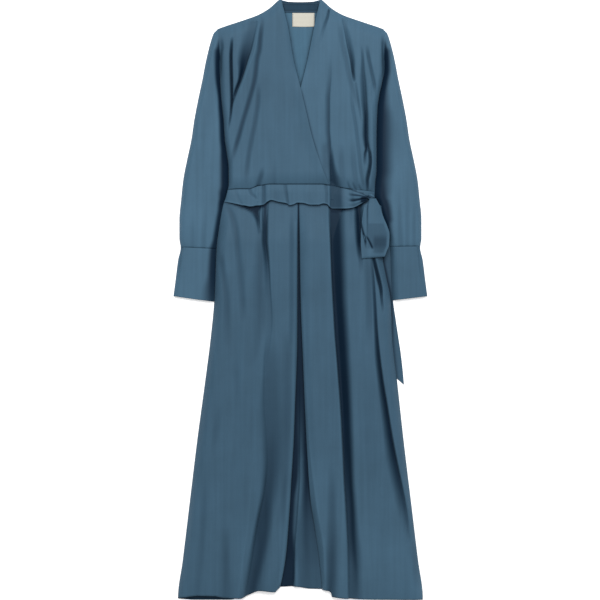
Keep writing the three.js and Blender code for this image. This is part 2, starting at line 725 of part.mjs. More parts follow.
// ---------------------------------------------------------------- sash

const SASH_TOP = lineAcross([
  [-174, 447], [-141, 445], [-122, 445], [-99, 438], [-70, 434], [47, 434], [70, 437], [101, 443],
  [129, 450], [146, 456], [155, 461],
]);
const SASH_LOWER = lineAcross([
  [-178, 475], [-146, 480], [-118, 486], [-99, 485], [-87, 481], [-68, 471], [-45, 476], [-28, 482],
  [-16, 480], [0, 477], [42, 482], [63, 480], [75, 491], [106, 491], [129, 486], [146, 479], [155, 473],
]);
// Height of the band along its length, which dips where it crosses the folds below.
const SASH_WAVE = table(["across", "height"], [
  [-178, 4.4], [-168, 9], [-150, 11], [-118, 12], [-100, 11], [-80, 12], [-66, 10.5], [-30, 12], [-12, 10.5],
  [20, 12], [62, 12], [72, 5.5], [84, 6.5], [100, 11], [125, 13], [155, 17.6],
]);
// The gathers that run into the knot.
const SASH_GATHERS = { start: 108, count: 3, depth: 2.2 };
const SASH_END = 155;
const SASH_AT_SEAM = 9.5;
const SASH_CLEARANCE = 1;

function sashBand() {
  const { start, count, depth } = SASH_GATHERS;
  const columnCount = 40;
  const rowCount = 5;
  return wall("sash_band", columnCount, rowCount, (i, j) => {
    const t = j / rowCount;
    const leftDown = lerp(SASH_TOP(-171), SASH_LOWER(-176), t);
    const across = lerp(LEFT_SIDE(leftDown) + SEAM_GAP, SASH_END, i / columnCount);
    const down = lerp(SASH_TOP(across) + SEAM_GAP, SASH_LOWER(across), t);
    const gather = smoothstep((across - start) / 20) * depth * Math.sin(Math.PI * 2 * count * t);
    const wave = SASH_WAVE(across).height;
    const level = lerp(Math.min(wave, SASH_AT_SEAM), wave, smoothstep(t * 2.5));
    const free = level + gather * Math.sin(Math.PI * t);
    const skirt = across < 0 ? leftSkirtHeight : rightSkirtHeight;
    const upper = Math.max(free, skirt(across, down) + SASH_CLEARANCE + WALL);
    return [place(across, down, upper), place(across, down, upper - WALL)];
  });
}

const KNOT = { across: SASH_END + 9.3, down: 466, height: 17, halfWidth: 9, halfLength: 9, halfHeight: 7 };

function sashKnot() {
  const geometry = new THREE.SphereGeometry(1, 16, 10);
  geometry.rotateY(Math.PI / 2);
  const points = geometry.attributes.position;
  for (let k = 0; k < points.count; k += 1) {
    const turn = Math.atan2(points.getY(k), points.getZ(k));
    const pinch = 1 - 0.12 * Math.cos(4 * turn);
    points.setXYZ(
      k,
      KNOT.across + points.getX(k) * KNOT.halfWidth,
      -KNOT.down + points.getY(k) * KNOT.halfLength * pinch,
      KNOT.height + points.getZ(k) * KNOT.halfHeight * pinch,
    );
  }
  geometry.deleteAttribute("normal");
  geometry.deleteAttribute("uv");
  return pieceOf("sash_knot", mergeVertices(geometry, 1e-3));
}

// The loop: down over the front, round the fold at its foot, and back up behind.
const LOOP_EDGES = table(["down", "left", "right"], [
  [477, 157, 180], [486, 149, 186], [501, 146, 190], [517, 144, 196], [531, 143, 202], [552, 141, 208],
  [576, 141, 207], [590, 142, 202], [606, 143, 196],
]);
const LOOP = { top: 477, foot: 604, under: ON_BACK + WALL + SKIRT_LOFT + SEAM_GAP, gap: 0.6 };

function bowLoop() {
  const { top, foot, under, gap } = LOOP;
  const rows = 10;
  const turn = 2;
  const columnCount = 6;
  const footAt = (s) => foot + 5 * (1 - s);
  return wall("bow_loop", columnCount, rows * 2 + turn, (i, j) => {
    const s = i / columnCount;
    const front = j <= rows;
    const along = front ? j / rows : clamp((rows * 2 + turn - j) / rows);
    const down = lerp(top, footAt(s) - 4, along);
    const edges = LOOP_EDGES(down);
    const across = lerp(edges.left, edges.right, s);
    const crown = Math.sin(Math.PI * clamp(s, 0.06, 0.94));
    const swell = Math.sin(Math.PI * clamp(0.12 + 0.8 * along));
    const crease = 2.5 * (1 - smoothstep(Math.abs(s - 0.2) / 0.14)) * (1 - along);
    const upper = under + WALL * 2 + gap + (LOOP_HEIGHT - under - 3) * crown * swell - crease;
    if (j === rows + 1) {
      const middle = (upper + under) / 2;
      return [place(across, footAt(s), middle), place(across, footAt(s) - WALL, middle)];
    }
    if (front) return [place(across, down, upper), place(across, down, upper - WALL)];
    return [place(across, down, under), place(across, down, under + WALL)];
  });
}

const TAIL = table(["down", "inner", "outer", "lift"], [
  [484, 178, 187, 11], [505, 184, 190, 9], [540, 190, 197, 4], [562, 192, 204, 0.6], [575, 193, 207, 0],
  [600, 186, 210, 0], [653, 194, 213.5, 0], [705, 204, 216, 0], [747, 206, 223, 0], [794, 208, 230, 0],
  [827, 211, 235, 0], [870, 216, 240, 0], [904, 220, 243, 0],
]);

function sashTail() {
  const rows = 16;
  const columnCount = 3;
  return wall("sash_tail", columnCount, rows, (i, j) => {
    const s = i / columnCount;
    const slant = 22 * (1 - s) * smoothstep(j / rows);
    const down = lerp(TAIL.start, TAIL.end, j / rows) - slant;
    const { inner, outer, lift } = TAIL(down);
    const across = lerp(inner, outer, s);
    return [place(across, down, lift + WALL), place(across, down, lift)];
  });
}

// ---------------------------------------------------------------- the dress

const dress = new THREE.Group();
dress.position.set(0, DRESS_LENGTH / 2, 0);
const waistBelow = (across) => WAIST(across) + SEAM_GAP;
dress.add(
  backBodice(),
  skirtBack(),
  neckBand(),
  label(),
  frontBodiceUnder(),
  frontBodiceOver(),
  sleeve("sleeve_left", -1),
  sleeve("sleeve_right", 1),
  cuff("cuff_left", -1),
  cuff("cuff_right", 1),
  pleatUnderlay(),
  skirtFront("skirt_front_left", {
    left: LEFT_SIDE,
    right: LEFT_SLIT,
    folds: LEFT_SKIRT_FOLDS,
    height: leftSkirtHeight,
    side: "left",
    corners: [waistBelow(-171), waistBelow(-6), HEM(-287), HEM(-52)],
  }),
  skirtFront("skirt_front_right", {
    left: RIGHT_SLIT,
    right: RIGHT_SIDE,
    folds: RIGHT_SKIRT_FOLDS,
    height: rightSkirtHeight,
    side: "right",
    corners: [waistBelow(-3.5), waistBelow(174), HEM(52), HEM(287)],
  }),
  sashBand(),
  sashKnot(),
  bowLoop(),
  sashTail(),
);

export default dress;
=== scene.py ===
"""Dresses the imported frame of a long-sleeve maxi wrap dress in satin crepe.

The dress lies on its back with its front up. The tables are in millimetres: `down` runs from the top
of the collar to the hem, `across` from the centre front, plus towards the wearer's left, and `height`
up from the surface. A mesh gets its place in metres by one function, `placed`.
"""
import bmesh
import bpy
import numpy as np
from mathutils import Matrix, Vector, noise


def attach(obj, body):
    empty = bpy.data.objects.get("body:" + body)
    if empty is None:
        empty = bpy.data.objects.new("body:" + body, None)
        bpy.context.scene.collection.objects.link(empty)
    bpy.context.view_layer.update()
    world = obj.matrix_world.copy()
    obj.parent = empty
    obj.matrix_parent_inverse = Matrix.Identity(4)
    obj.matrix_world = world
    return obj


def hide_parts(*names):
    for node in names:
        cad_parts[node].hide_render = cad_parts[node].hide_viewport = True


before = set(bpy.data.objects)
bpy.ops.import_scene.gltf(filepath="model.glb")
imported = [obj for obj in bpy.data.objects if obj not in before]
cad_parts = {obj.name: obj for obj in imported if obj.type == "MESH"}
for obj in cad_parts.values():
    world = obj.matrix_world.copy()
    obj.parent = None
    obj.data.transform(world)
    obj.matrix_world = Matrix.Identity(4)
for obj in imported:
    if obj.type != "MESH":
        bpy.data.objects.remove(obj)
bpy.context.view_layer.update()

bl_info = {
    "name": "Wrap dress cloth",
    "version": (1, 0, 0),
    "blender": (4, 5, 0),
    "location": "3D View > Sidebar > Dress",
    "description": "Builds the cloth of a long-sleeve maxi wrap dress, laid flat",
    "category": "Add Mesh",
}

MM = 0.001
DRESS_LENGTH = 1408
MIDDLE = DRESS_LENGTH / 2

WALL = 1.2  # the frame's cloth, which the layers are spaced for
SEAM_GAP = 0.3
SEAM_TURN = 0.6  # how far the lower of two sewn pieces goes in under the upper one
LAYER_GAP = 0.4
BACK_TOP = WALL
ON_BACK = BACK_TOP + LAYER_GAP
ON_UNDERLAY = ON_BACK + WALL + LAYER_GAP

BODICE_LOFT = 13
SKIRT_LOFT = 18
SLEEVE_LOFT = 12
CUFF_LOFT = 8

# ---------------------------------------------------------------- sizes and colours


class DressSizes(bpy.types.PropertyGroup):
    thickness: bpy.props.FloatProperty(
        name="Cloth thickness", description="Thickness of the crepe", default=0.001, min=0.0003,
        max=0.0012, unit="LENGTH",
    )
    grid: bpy.props.FloatProperty(
        name="Grid step", description="Width of one cell of a cloth piece's grid", default=0.0018,
        min=0.0015, max=0.02, unit="LENGTH",
    )
    fold_scale: bpy.props.FloatProperty(
        name="Fold depth", description="How deep the folds are, 1 for as laid", default=1.0, min=0.0,
        max=1.5, subtype="FACTOR",
    )
    grain: bpy.props.FloatProperty(
        name="Crepe grain", description="Size of one pebble of the crepe's surface", default=0.0011,
        min=0.0003, max=0.003, unit="LENGTH",
    )
    stitch: bpy.props.FloatProperty(
        name="Stitch length", description="Length of one machine stitch", default=0.0028, min=0.0015,
        max=0.005, unit="LENGTH",
    )


def srgb(hex_colour):
    """An sRGB hex colour such as "45667a" as linear red, green and blue."""
    parts = [int(hex_colour[k : k + 2], 16) / 255 for k in (0, 2, 4)]
    return [p / 12.92 if p <= 0.04045 else ((p + 0.055) / 1.055) ** 2.4 for p in parts]


def colour_property(name, description, hex_colour):
    return bpy.props.FloatVectorProperty(
        name=name, description=description, default=srgb(hex_colour), subtype="COLOR", min=0, max=1
    )


class DressColours(bpy.types.PropertyGroup):
    face: colour_property("Face", "Outer face of the crepe", "436176")
    inside: colour_property("Inside", "Inner face of the crepe", "42647a")
    # the colour that the painted shade of folds, creases and shadows goes to
    deep: colour_property("Deep folds", "The crepe where a fold keeps the light off", "0b1e30")
    thread: colour_property("Thread", "Sewing thread", "2f4a5e")
    label: colour_property("Label", "Woven label", "c4c1b4")
    floor: colour_property("Floor", "Paper that the dress lies on", "ffffff")


def sizes():
    return bpy.context.scene.dress_sizes


def colours():
    return bpy.context.scene.dress_colours


# ---------------------------------------------------------------- curves


def lerp(a, b, t):
    return a + (b - a) * t


def smoothstep(t):
    t = np.clip(t, 0, 1)
    return t * t * (3 - 2 * t)


def ramp(x, begin, end):
    """Smoothly from 0 to 1 as `x` goes from `begin` to `end`, which may be the smaller of the two."""
    return smoothstep((x - begin) / (end - begin))


def rise(distance, run):
    """How far cloth has risen from an edge, 0 to 1: steep at the edge, level once it is `run` away."""
    return 1 - (1 - np.clip(distance / run, 0, 1)) ** 2


def smooth_line(xs, ys, x):
    """The smooth value at each `x` of a line through the points, with no overshoot, level past its ends."""
    slope = np.diff(ys) / np.diff(xs)
    tangent = np.zeros(len(ys))
    tangent[0], tangent[-1] = slope[0], slope[-1]
    before, after = slope[:-1], slope[1:]
    same_way = before * after > 0
    total = np.where(same_way, before + after, 1)
    tangent[1:-1] = np.where(same_way, 2 * before * after / total, 0)
    x = np.clip(x, xs[0], xs[-1])
    k = np.clip(np.searchsorted(xs, x, side="right") - 1, 0, len(xs) - 2)
    span = xs[k + 1] - xs[k]
    t = (x - xs[k]) / span
    return (
        ys[k] * (1 + 2 * t) * (1 - t) ** 2
        + ys[k + 1] * t * t * (3 - 2 * t)
        + tangent[k] * span * t * (1 - t) ** 2
        + tangent[k + 1] * span * t * t * (t - 1)
    )


def line(rows):
    """A line through rows of (place, value)."""
    xs, ys = np.array(rows, float).T
    return lambda x: smooth_line(xs, ys, x)


def line_of(rows):
    """Lines through a table whose first column is the place, one for each further column."""
    places, *columns = np.array(rows, float).T
    return lambda x: [smooth_line(places, column, x) for column in columns]


def mirrored(side):
    return lambda down: -side(down)


class Fold:
    """A crease or a trough in the cloth, as a table with a row for each place down it.

    Its columns are (down, across, depth, left, right, dark): where its bottom is, how deep it is there,
    how far it reaches to each side, and the painted shade at its bottom, for the share of the light the
    fold keeps off. A depth below zero makes a ridge, and dark below zero paints a highlight. A side that
    is named in `soft` rounds over like a trough's, and the other comes to a point at the bottom. `flat`
    is the share of a soft side whose painted shade is as dark as the bottom.
    """

    def __init__(self, rows, soft="", flat=0.0):
        self.down, *self.columns = np.array(rows, float).T
        self.soft = soft
        self.flat = flat

    def at(self, across, down):
        """How deep the fold cuts at each point, and how dark it is there."""
        middle, depth, left, right, dark = (smooth_line(self.down, column, down) for column in self.columns)
        away = across - middle
        u = np.clip(np.abs(away) / np.where(away < 0, left, right), 0, 1)
        pointed = (1 - u) ** 2
        soft_here = ((away < 0) & ("left" in self.soft)) | ((away >= 0) & ("right" in self.soft))
        inside = (down >= self.down[0]) & (down <= self.down[-1])
        slope = np.where(soft_here, 1 - smoothstep(u), pointed)
        shadow = np.where(soft_here, 1 - smoothstep((u - self.flat) / (1 - self.flat)), pointed)
        return np.where(inside, depth * slope, 0), np.where(inside, dark * shadow, 0)


def trough(route, depth, reach, dark, open_end=False):
    """A soft fold along a route of (down, across). It fades at its start, and at an end that isn't open."""
    last = len(route) - 1
    rows = []
    for k, (down, across) in enumerate(route):
        share = 0 if k == 0 or (k == last and not open_end) else 1
        rows.append((down, across, depth * share, reach, reach, dark * share))
    return Fold(rows, soft="left right")


def folded(folds, across, down):
    """How deep the folds cut at each point, and how much of the light they keep off it."""
    cut, light = 0, 1
    for fold in folds:
        depth, dark = fold.at(across, down)
        cut = cut + depth
        light = light * (1 - dark)
    return cut * sizes().fold_scale, 1 - light


def shaded(tone, dark):
    """The painted shade of cloth that has this much painted shade before its folds, where folds keep a share
    of the light off it.
    """
    return 1 - (1 - tone) * (1 - dark)


def drape(across, down, size, seed, amount):
    """Slight unevenness of cloth: (across, down) sizes of one swell, and how high it is."""
    wide, long = size
    return amount * np.array(
        [noise.noise(Vector((a / wide, d / long, seed))) for a, d in zip(across, down)]
    )


# ---------------------------------------------------------------- outlines

SLEEVE_OUTER = line([
    [70, 194], [78, 203], [94, 209], [141, 221], [188, 230], [235, 240], [282, 249], [329, 256],
    [376, 266], [423, 275], [470, 280], [517, 284], [560, 284], [582, 281], [611, 287], [658, 293],
    [696, 298],
])
LEFT_SIDE = mirrored(line([
    [66, 193], [106, 190], [188, 189], [235, 186], [282, 181], [329, 178], [364, 173], [400, 169],
    [435, 169], [460, 174], [482, 181], [529, 190], [583, 197], [705, 202], [799, 211], [893, 223],
    [1034, 242], [1175, 259], [1316, 276], [1402, 287], [1440, 287],
]))
RIGHT_SIDE = line([
    [66, 195], [106, 197], [164, 197], [195, 192], [223, 186], [258, 181], [329, 179], [400, 179],
    [430, 176], [463, 174], [482, 178], [529, 186], [606, 193], [653, 202], [705, 212], [799, 216],
    [888, 226], [1034, 242], [1175, 259], [1316, 276], [1402, 287], [1440, 287],
])
RIGHT_SLEEVE_BY_TAIL = line([
    [470, 176], [505, 186], [529, 194], [564, 206], [588, 212], [650, 214], [706, 217],
])
SHOULDER = line([[49, 0], [59, 9], [70, 19], [83, 28], [102, 38], [127, 47], [154, 56], [181, 65], [197, 71]])
BACK_NECK = line([[0, 8], [25, 6], [42, 2], [49, 0]])
WAIST = line([
    [-174, 447], [-141, 445], [-122, 445], [-99, 438], [-70, 434], [47, 434], [70, 437], [101, 443],
    [176, 452],
])
OVER_EDGE = line([
    [0, -45], [28, -38], [70, -28], [141, -16], [207, 0], [258, 12], [329, 29], [393, 50], [434, 66],
])
UNDER_EDGE = line([
    [0, 47], [28, 40], [70, 31], [141, 17], [207, 1], [258, -10], [329, -27], [393, -44], [434, -55],
])
LEFT_SLIT = line([
    [446, -6], [800, -7], [952, -12], [1034, -15], [1116, -20], [1187, -24], [1257, -29], [1309, -34],
    [1365, -44], [1392, -52],
])
RIGHT_SLIT = line([
    [446, -3.5], [705, 0], [810, 4], [999, 12], [1116, 18.5], [1175, 23], [1234, 32], [1292, 41], [1392, 52],
])
HEM = line([
    [-287, 1403], [-240, 1397], [-200, 1398], [-179, 1402], [-141, 1404], [-122, 1396], [-94, 1386],
    [-60, 1389], [-49, 1380], [9, 1382], [70, 1387], [74, 1400], [129, 1405], [285, 1407],
])
BACK_HEM = line([
    [-287, 1405], [-246, 1408], [-205, 1408], [-164, 1408], [-123, 1390], [-82, 1378], [-41, 1372], [0, 1370],
    [41, 1374], [82, 1396], [123, 1403], [205, 1406], [287, 1408],
])
UNDERLAY_HEM = line([[-86, 1378], [-40, 1377], [-19, 1376], [-7, 1377], [24, 1382], [86, 1383]])
UNDERLAY_REACH = 34  # how far the underlay goes in under each panel

# the corners of the pieces, across
LEFT_ARM = -193
RIGHT_ARM = 195
LEFT_WAIST = -171
RIGHT_WAIST = 174
OVER_WAIST = 66  # where the edge of the over front meets the waist
UNDER_WAIST = -55
LEFT_SLIT_TOP = -6
RIGHT_SLIT_TOP = -3.5
HALF_SLIT = 52  # at the hem
HALF_HEM = 287
HALF_UNDERLAY = 86

CUFF_SEAM = {"left": line([[-284, 581], [-197, 585]]), "right": line([[212, 580], [284, 579]])}
CUFF_HEM = {
    "left": line([[-298, 696], [-235, 705], [-202, 709]]),
    "right": line([[216, 706], [258, 701], [298, 696]]),
}
SHOULDER_END = 90
SLEEVE_PARTED = 150
TAIL_BESIDE_SLEEVE = 470  # from here down the tail lies between the right sleeve and the skirt

SASH_TOP = line([
    [-174, 447], [-141, 445], [-122, 445], [-99, 438], [-70, 434], [47, 434], [70, 437], [101, 443],
    [129, 450], [146, 456], [155, 461],
])
SASH_LOWER = line([
    [-177, 475], [-165, 477], [-146, 481], [-129, 484], [-118, 486], [-101, 484], [-87, 482], [-78, 475],
    [-68, 471], [-52, 475], [-31, 479], [-26, 483], [-16, 481], [-7, 477], [7, 478], [24, 482], [42, 482],
    [54, 479], [63, 481], [68, 486], [75, 491], [106, 491], [122, 489], [132, 485], [143, 479], [155, 473],
])
# how high the free edge of the sash stands: across, height
SASH_WAVE = line([
    [-178, 4.4], [-168, 9], [-150, 11], [-118, 12], [-100, 11], [-80, 12], [-66, 10.5], [-30, 12],
    [-12, 10.5], [20, 12], [62, 12.5], [100, 12.5], [125, 13], [155, 17.6],
])
LOOP_LEFT = line([
    [466, 163], [477, 157], [486, 149], [501, 146], [517, 144], [531, 143], [552, 141], [576, 141],
    [590, 142], [609, 143],
])
LOOP_RIGHT = line([
    [466, 175], [477, 181], [486, 186], [501, 190], [517, 196], [531, 202], [552, 208], [576, 207],
    [590, 202], [606, 196],
])
TAIL_INNER = line([
    [484, 178], [505, 184], [540, 190], [562, 192], [575, 193], [600, 186], [653, 194], [705, 204],
    [747, 206], [794, 208], [827, 211], [870, 216], [904, 220],
])
TAIL_OUTER = line([
    [484, 189], [505, 193], [540, 200], [562, 207], [575, 211], [588, 213.4], [600, 213.8], [653, 215.3],
    [705, 217.4], [747, 223], [794, 230], [827, 235], [870, 240], [904, 243],
])
TAIL_LIFT = line([[484, 11], [505, 9], [540, 4], [562, 0.6], [575, 0], [904, 0]])


def shoulder(across):
    return SHOULDER(np.abs(across))


def joined(down):
    """1 at the top of the shoulder, where a sleeve and the body lie level, to 0 where they part."""
    return ramp(down, SLEEVE_PARTED, SHOULDER_END)


def left_sleeve_edge(down):
    return LEFT_SIDE(down) - SEAM_GAP


def right_sleeve_edge(down):
    by_tail = np.maximum(RIGHT_SLEEVE_BY_TAIL(down), RIGHT_SIDE(down))
    return np.where(down < TAIL_BESIDE_SLEEVE, RIGHT_SIDE(down), by_tail) + SEAM_GAP


# ---------------------------------------------------------------- folds

# The columns of a Fold are down, across, depth, left, right, dark. A trough's route is down, across.

OVER_FOLDS = [
    # shoulder tuck, dark under the roll of cloth that overlaps it
    Fold([
        (52, -101, 2, 28, 4, 0.15), (94, -110, 5, 32, 4, 0.42), (122, -117, 8, 32, 4, 0.68),
        (146, -125, 11, 26, 4, 0.92), (169, -132, 12, 16, 4, 1), (193, -140, 11, 9, 4, 1),
        (216, -149, 8, 8, 4, 0.9), (244, -158, 3, 6, 3, 0.45), (268, -163, 0, 5, 3, 0),
    ], soft="left", flat=0.42),
    Fold([
        (42, -92, 0, 5, 8, 0), (75, -98, -1.5, 5, 8, -0.2), (106, -103, -1.5, 5, 9, -0.18),
        (188, -131, -1.5, 5, 9, -0.16), (250, -150, 0, 5, 8, 0),
    ]),
    # soft troughs that fan from the tuck
    trough([
        (40, -88), (94, -94), (118, -96), (141, -101), (188, -107), (235, -119), (282, -133), (329, -146),
        (388, -163),
    ], 2, 9, 0.7),
    trough([(197, -98), (235, -99), (282, -105), (329, -114), (376, -122), (442, -129)], 1.5, 9, 0.42),
    # crease beside the armhole
    Fold([
        (89, -159, 0, 5, 4, 0), (108, -160, 6, 6, 4, 0.8), (136, -161, 11, 7, 4, 1),
        (188, -160, 12, 7, 4, 1), (230, -159, 11, 7, 3, 1), (259, -161, 8, 5, 3, 0.85),
        (282, -164, 5, 4, 3, 0.6), (310, -169, 0, 4, 3, 0),
    ], soft="left", flat=0.15),
    # beside the top of the armhole
    trough([(85, -186), (113, -184), (136, -187), (160, -188), (188, -189)], 2.5, 7, 0.5),
    # puckers at the waist seam
    trough([(395, -89), (418, -93), (440, -99)], 2.5, 9, 0.45, open_end=True),
    trough([(376, -59), (414, -61), (434, -61)], 1, 9, 0.14, open_end=True),
]

UNDER_FOLDS = [
    # collar pleat
    Fold([
        (24, 68, 4, 6, 4, 0.7), (42, 65, 4, 7, 4, 0.6), (59, 59, 3, 7, 5, 0.4), (82, 52, 1.5, 7, 6, 0.15),
        (113, 45, 0, 5, 5, 0),
    ], soft="left"),
    # shoulder tuck, and the soft trough beside it
    Fold([
        (47, 98, 1, 3, 9, 0.2), (82, 105, 4, 3, 13, 0.38), (118, 112, 7, 3, 14, 0.55),
        (146, 118, 9, 3, 12, 0.8), (169, 121, 9, 3, 8, 0.95), (186, 124, 6, 3, 6, 0.6),
        (197, 126, 0, 3, 5, 0),
    ], soft="right"),
    trough([(52, 92), (94, 96), (141, 106), (188, 116), (223, 125), (258, 133)], 1.5, 9, 0.25),
    # crease on from the tuck, and the soft trough that goes down to the knot
    Fold([
        (197, 128, 1, 3, 6, 0.25), (235, 134, 2.5, 3, 5, 0.42), (270, 139, 1, 3, 5, 0.3),
        (292, 142, 0, 3, 5, 0),
    ], soft="right"),
    trough([
        (211, 117), (258, 123), (282, 127), (317, 132), (352, 136), (400, 141), (430, 147), (447, 151),
    ], 2, 6, 0.26),
    # trough from the bust, which opens into the deep fold of the skirt
    Fold([
        (129, 71, 0, 9, 3, 0), (176, 71, 1.5, 10, 3, 0.24), (212, 69, 2, 12, 3, 0.48),
        (235, 67.5, 2.5, 13, 3, 0.62), (306, 67.5, 2.5, 13, 3, 0.68), (340, 70, 2.5, 13, 3, 0.72),
        (376, 71, 2, 11, 3, 0.72), (428, 71, 0, 9, 3, 0.4),
    ], soft="left"),
    trough([(332, 62), (352, 58), (390, 60), (424, 60)], 1, 15, 0.26),
    Fold([
        (345, 71, 0, 3, 6, 0), (376, 71, 4, 3, 10, 0.7), (400, 71, 7, 3, 16, 0.8), (423, 71, 9, 3, 28, 0.82),
        (452, 70, 12, 3, 38, 0.78),
    ], soft="right", flat=0.3),
    # creases beside the armhole
    Fold([
        (108, 143, 0, 4, 4, 0), (136, 146, 3, 5, 4, 0.4), (169, 148, 5, 9, 5, 0.5),
        (200, 151, 7, 14, 6, 0.6), (235, 153, 9, 14, 6, 0.65), (282, 155, 11, 11, 7, 0.95),
        (317, 155, 11, 12, 8, 1), (341, 156, 11, 10, 7, 1), (352, 155, 9, 6, 7, 1),
        (364, 152, 6, 5, 5, 0.85), (380, 151, 3, 4, 6, 0.4), (395, 153, 0, 3, 5, 0),
    ], soft="left", flat=0.15),
    Fold([
        (334, 158, 0, 4, 4, 0), (350, 160, 8, 6, 4, 0.8), (364, 164, 10, 7, 4, 0.95),
        (381, 165.5, 10, 8, 4, 1), (395, 164, 10, 8, 4, 1), (411, 161, 9, 9, 4, 1),
        (428, 158, 7, 8, 4, 1), (450, 158, 3, 5, 3, 0.5),
    ], soft="left"),
    # the light roll beside them
    Fold([
        (200, 162, -1, 6, 7, -0.08), (352, 169, -1, 6, 6, -0.1), (430, 163, -1, 5, 6, -0.1),
        (450, 163, 0, 5, 5, 0),
    ], soft="left right"),
    trough([(108, 155), (136, 159), (169, 166), (197, 172), (228, 177)], 3, 6, 0.45),
    trough([(82, 193), (108, 193), (141, 194), (169, 195), (188, 193)], 2.5, 6, 0.6),
    # the whole side lies lower beside the armhole
    trough([(150, 168), (235, 164), (329, 164), (400, 162), (452, 160)], 2, 24, 0.1, open_end=True),
    # soft troughs over the waist
    trough([(341, 96), (376, 96), (418, 98), (446, 98)], 1.5, 10, 0.2),
    trough([(329, 122), (388, 125), (446, 132)], 2, 9, 0.2, open_end=True),
    # small gathers above the knot
    trough([(424, 109), (437, 113), (450, 118)], 1.5, 4, 0.4, open_end=True),
    trough([(427, 122), (439, 126), (452, 133)], 1.5, 4, 0.45, open_end=True),
    trough([(432, 136), (442, 139), (452, 144)], 1.5, 4, 0.4, open_end=True),
]

LEFT_SKIRT_FOLDS = [
    # under the sash, with the soft hollow on from it and the dark hollow beside it
    Fold([
        (477, -82, 9, 9, 9, 0.8), (505, -83, 12, 9, 9, 0.88), (564, -83, 12, 9, 9, 0.88),
        (599, -79, 10, 10, 7, 0.78), (634, -75, 7, 12, 5, 0.5), (681, -72, 4, 14, 4, 0.35),
        (752, -68, 2, 14, 4, 0.2), (881, -85, 0, 9, 5, 0),
    ], soft="left right"),
    Fold([
        (540, -92, 1, 14, 12, 0.15), (616, -91, 2, 24, 16, 0.36), (670, -94, 2, 30, 21, 0.36),
        (728, -94, 2, 26, 23, 0.26), (799, -99, 1.5, 18, 14, 0.18), (870, -117, 0, 12, 12, 0),
    ], soft="left right"),
    Fold([
        (482, -100, 13, 44, 10, 1), (492, -100, 13, 32, 9, 1), (505, -99, 11, 17, 6, 0.96),
        (520, -97, 6, 10, 4, 0.75), (536, -96, 4, 7, 4, 0.42), (555, -94, 0, 5, 3, 0),
    ], soft="left", flat=0.3),
    # the deep fold, which opens towards the hem, and the light roll beside it
    Fold([
        (787, -78, 0, 5, 19, 0), (846, -83, 2, 5, 52, 0.22), (940, -84, 6, 14, 72, 0.32),
        (1010, -79, 9, 19, 66, 0.42), (1081, -76, 12, 20, 48, 0.58), (1151, -83, 13, 14, 42, 0.66),
        (1222, -98, 13, 10, 42, 0.7), (1316, -113, 11, 14, 48, 0.62), (1405, -129, 8, 16, 52, 0.54),
    ], soft="right", flat=0.15),
    Fold([
        (1150, -75, 0, 12, 12, 0), (1222, -78, 1, 16, 16, 0.42), (1292, -90, 1, 19, 18, 0.5),
        (1351, -104, 1, 19, 16, 0.5), (1405, -114, 1, 16, 14, 0.4),
    ], soft="left right"),
    Fold([
        (846, -99, 0, 12, 9, 0), (1034, -107, -1, 12, 9, -0.05), (1222, -122, -1.5, 14, 10, -0.12),
        (1316, -135, -2, 14, 10, -0.14), (1405, -146, -2, 14, 10, -0.14),
    ]),
    # the light roll along the slit
    Fold([
        (520, -9, -1, 7, 5, -0.08), (900, -14, -1.5, 9, 5, -0.2), (1058, -20, -1.5, 9, 5, -0.25),
        (1190, -28, -1.5, 9, 5, -0.25), (1300, -37, -1.5, 9, 5, -0.25), (1372, -48, -1, 9, 5, -0.2),
    ], soft="left right"),
    # beside the slit
    trough([(775, -31), (870, -31), (963, -31), (1057, -33), (1151, -38), (1245, -47)], 2, 16, 0.28),
    trough([(482, -19), (552, -19), (634, -19), (752, -19), (846, -21)], 1.5, 11, 0.2),
    # soft folds from the waist down
    trough([
        (480, -174), (505, -161), (540, -152), (588, -146), (635, -141), (705, -136), (764, -134),
    ], 2, 12, 0.3),
    trough([(588, -188), (623, -183), (670, -176), (717, -172), (822, -172)], 2, 12, 0.32),
    trough([(822, -150), (893, -150), (963, -150)], 1, 14, 0.12),
    trough([(952, -190), (1010, -197), (1081, -207)], 1.5, 12, 0.15),
    # soft folds that run out at the hem
    trough([(1104, -221), (1198, -226), (1292, -233), (1405, -242)], 1.5, 13, 0.18, open_end=True),
    trough([(1234, -174), (1316, -174), (1405, -174)], 2.3, 20, 0.28, open_end=True),
]

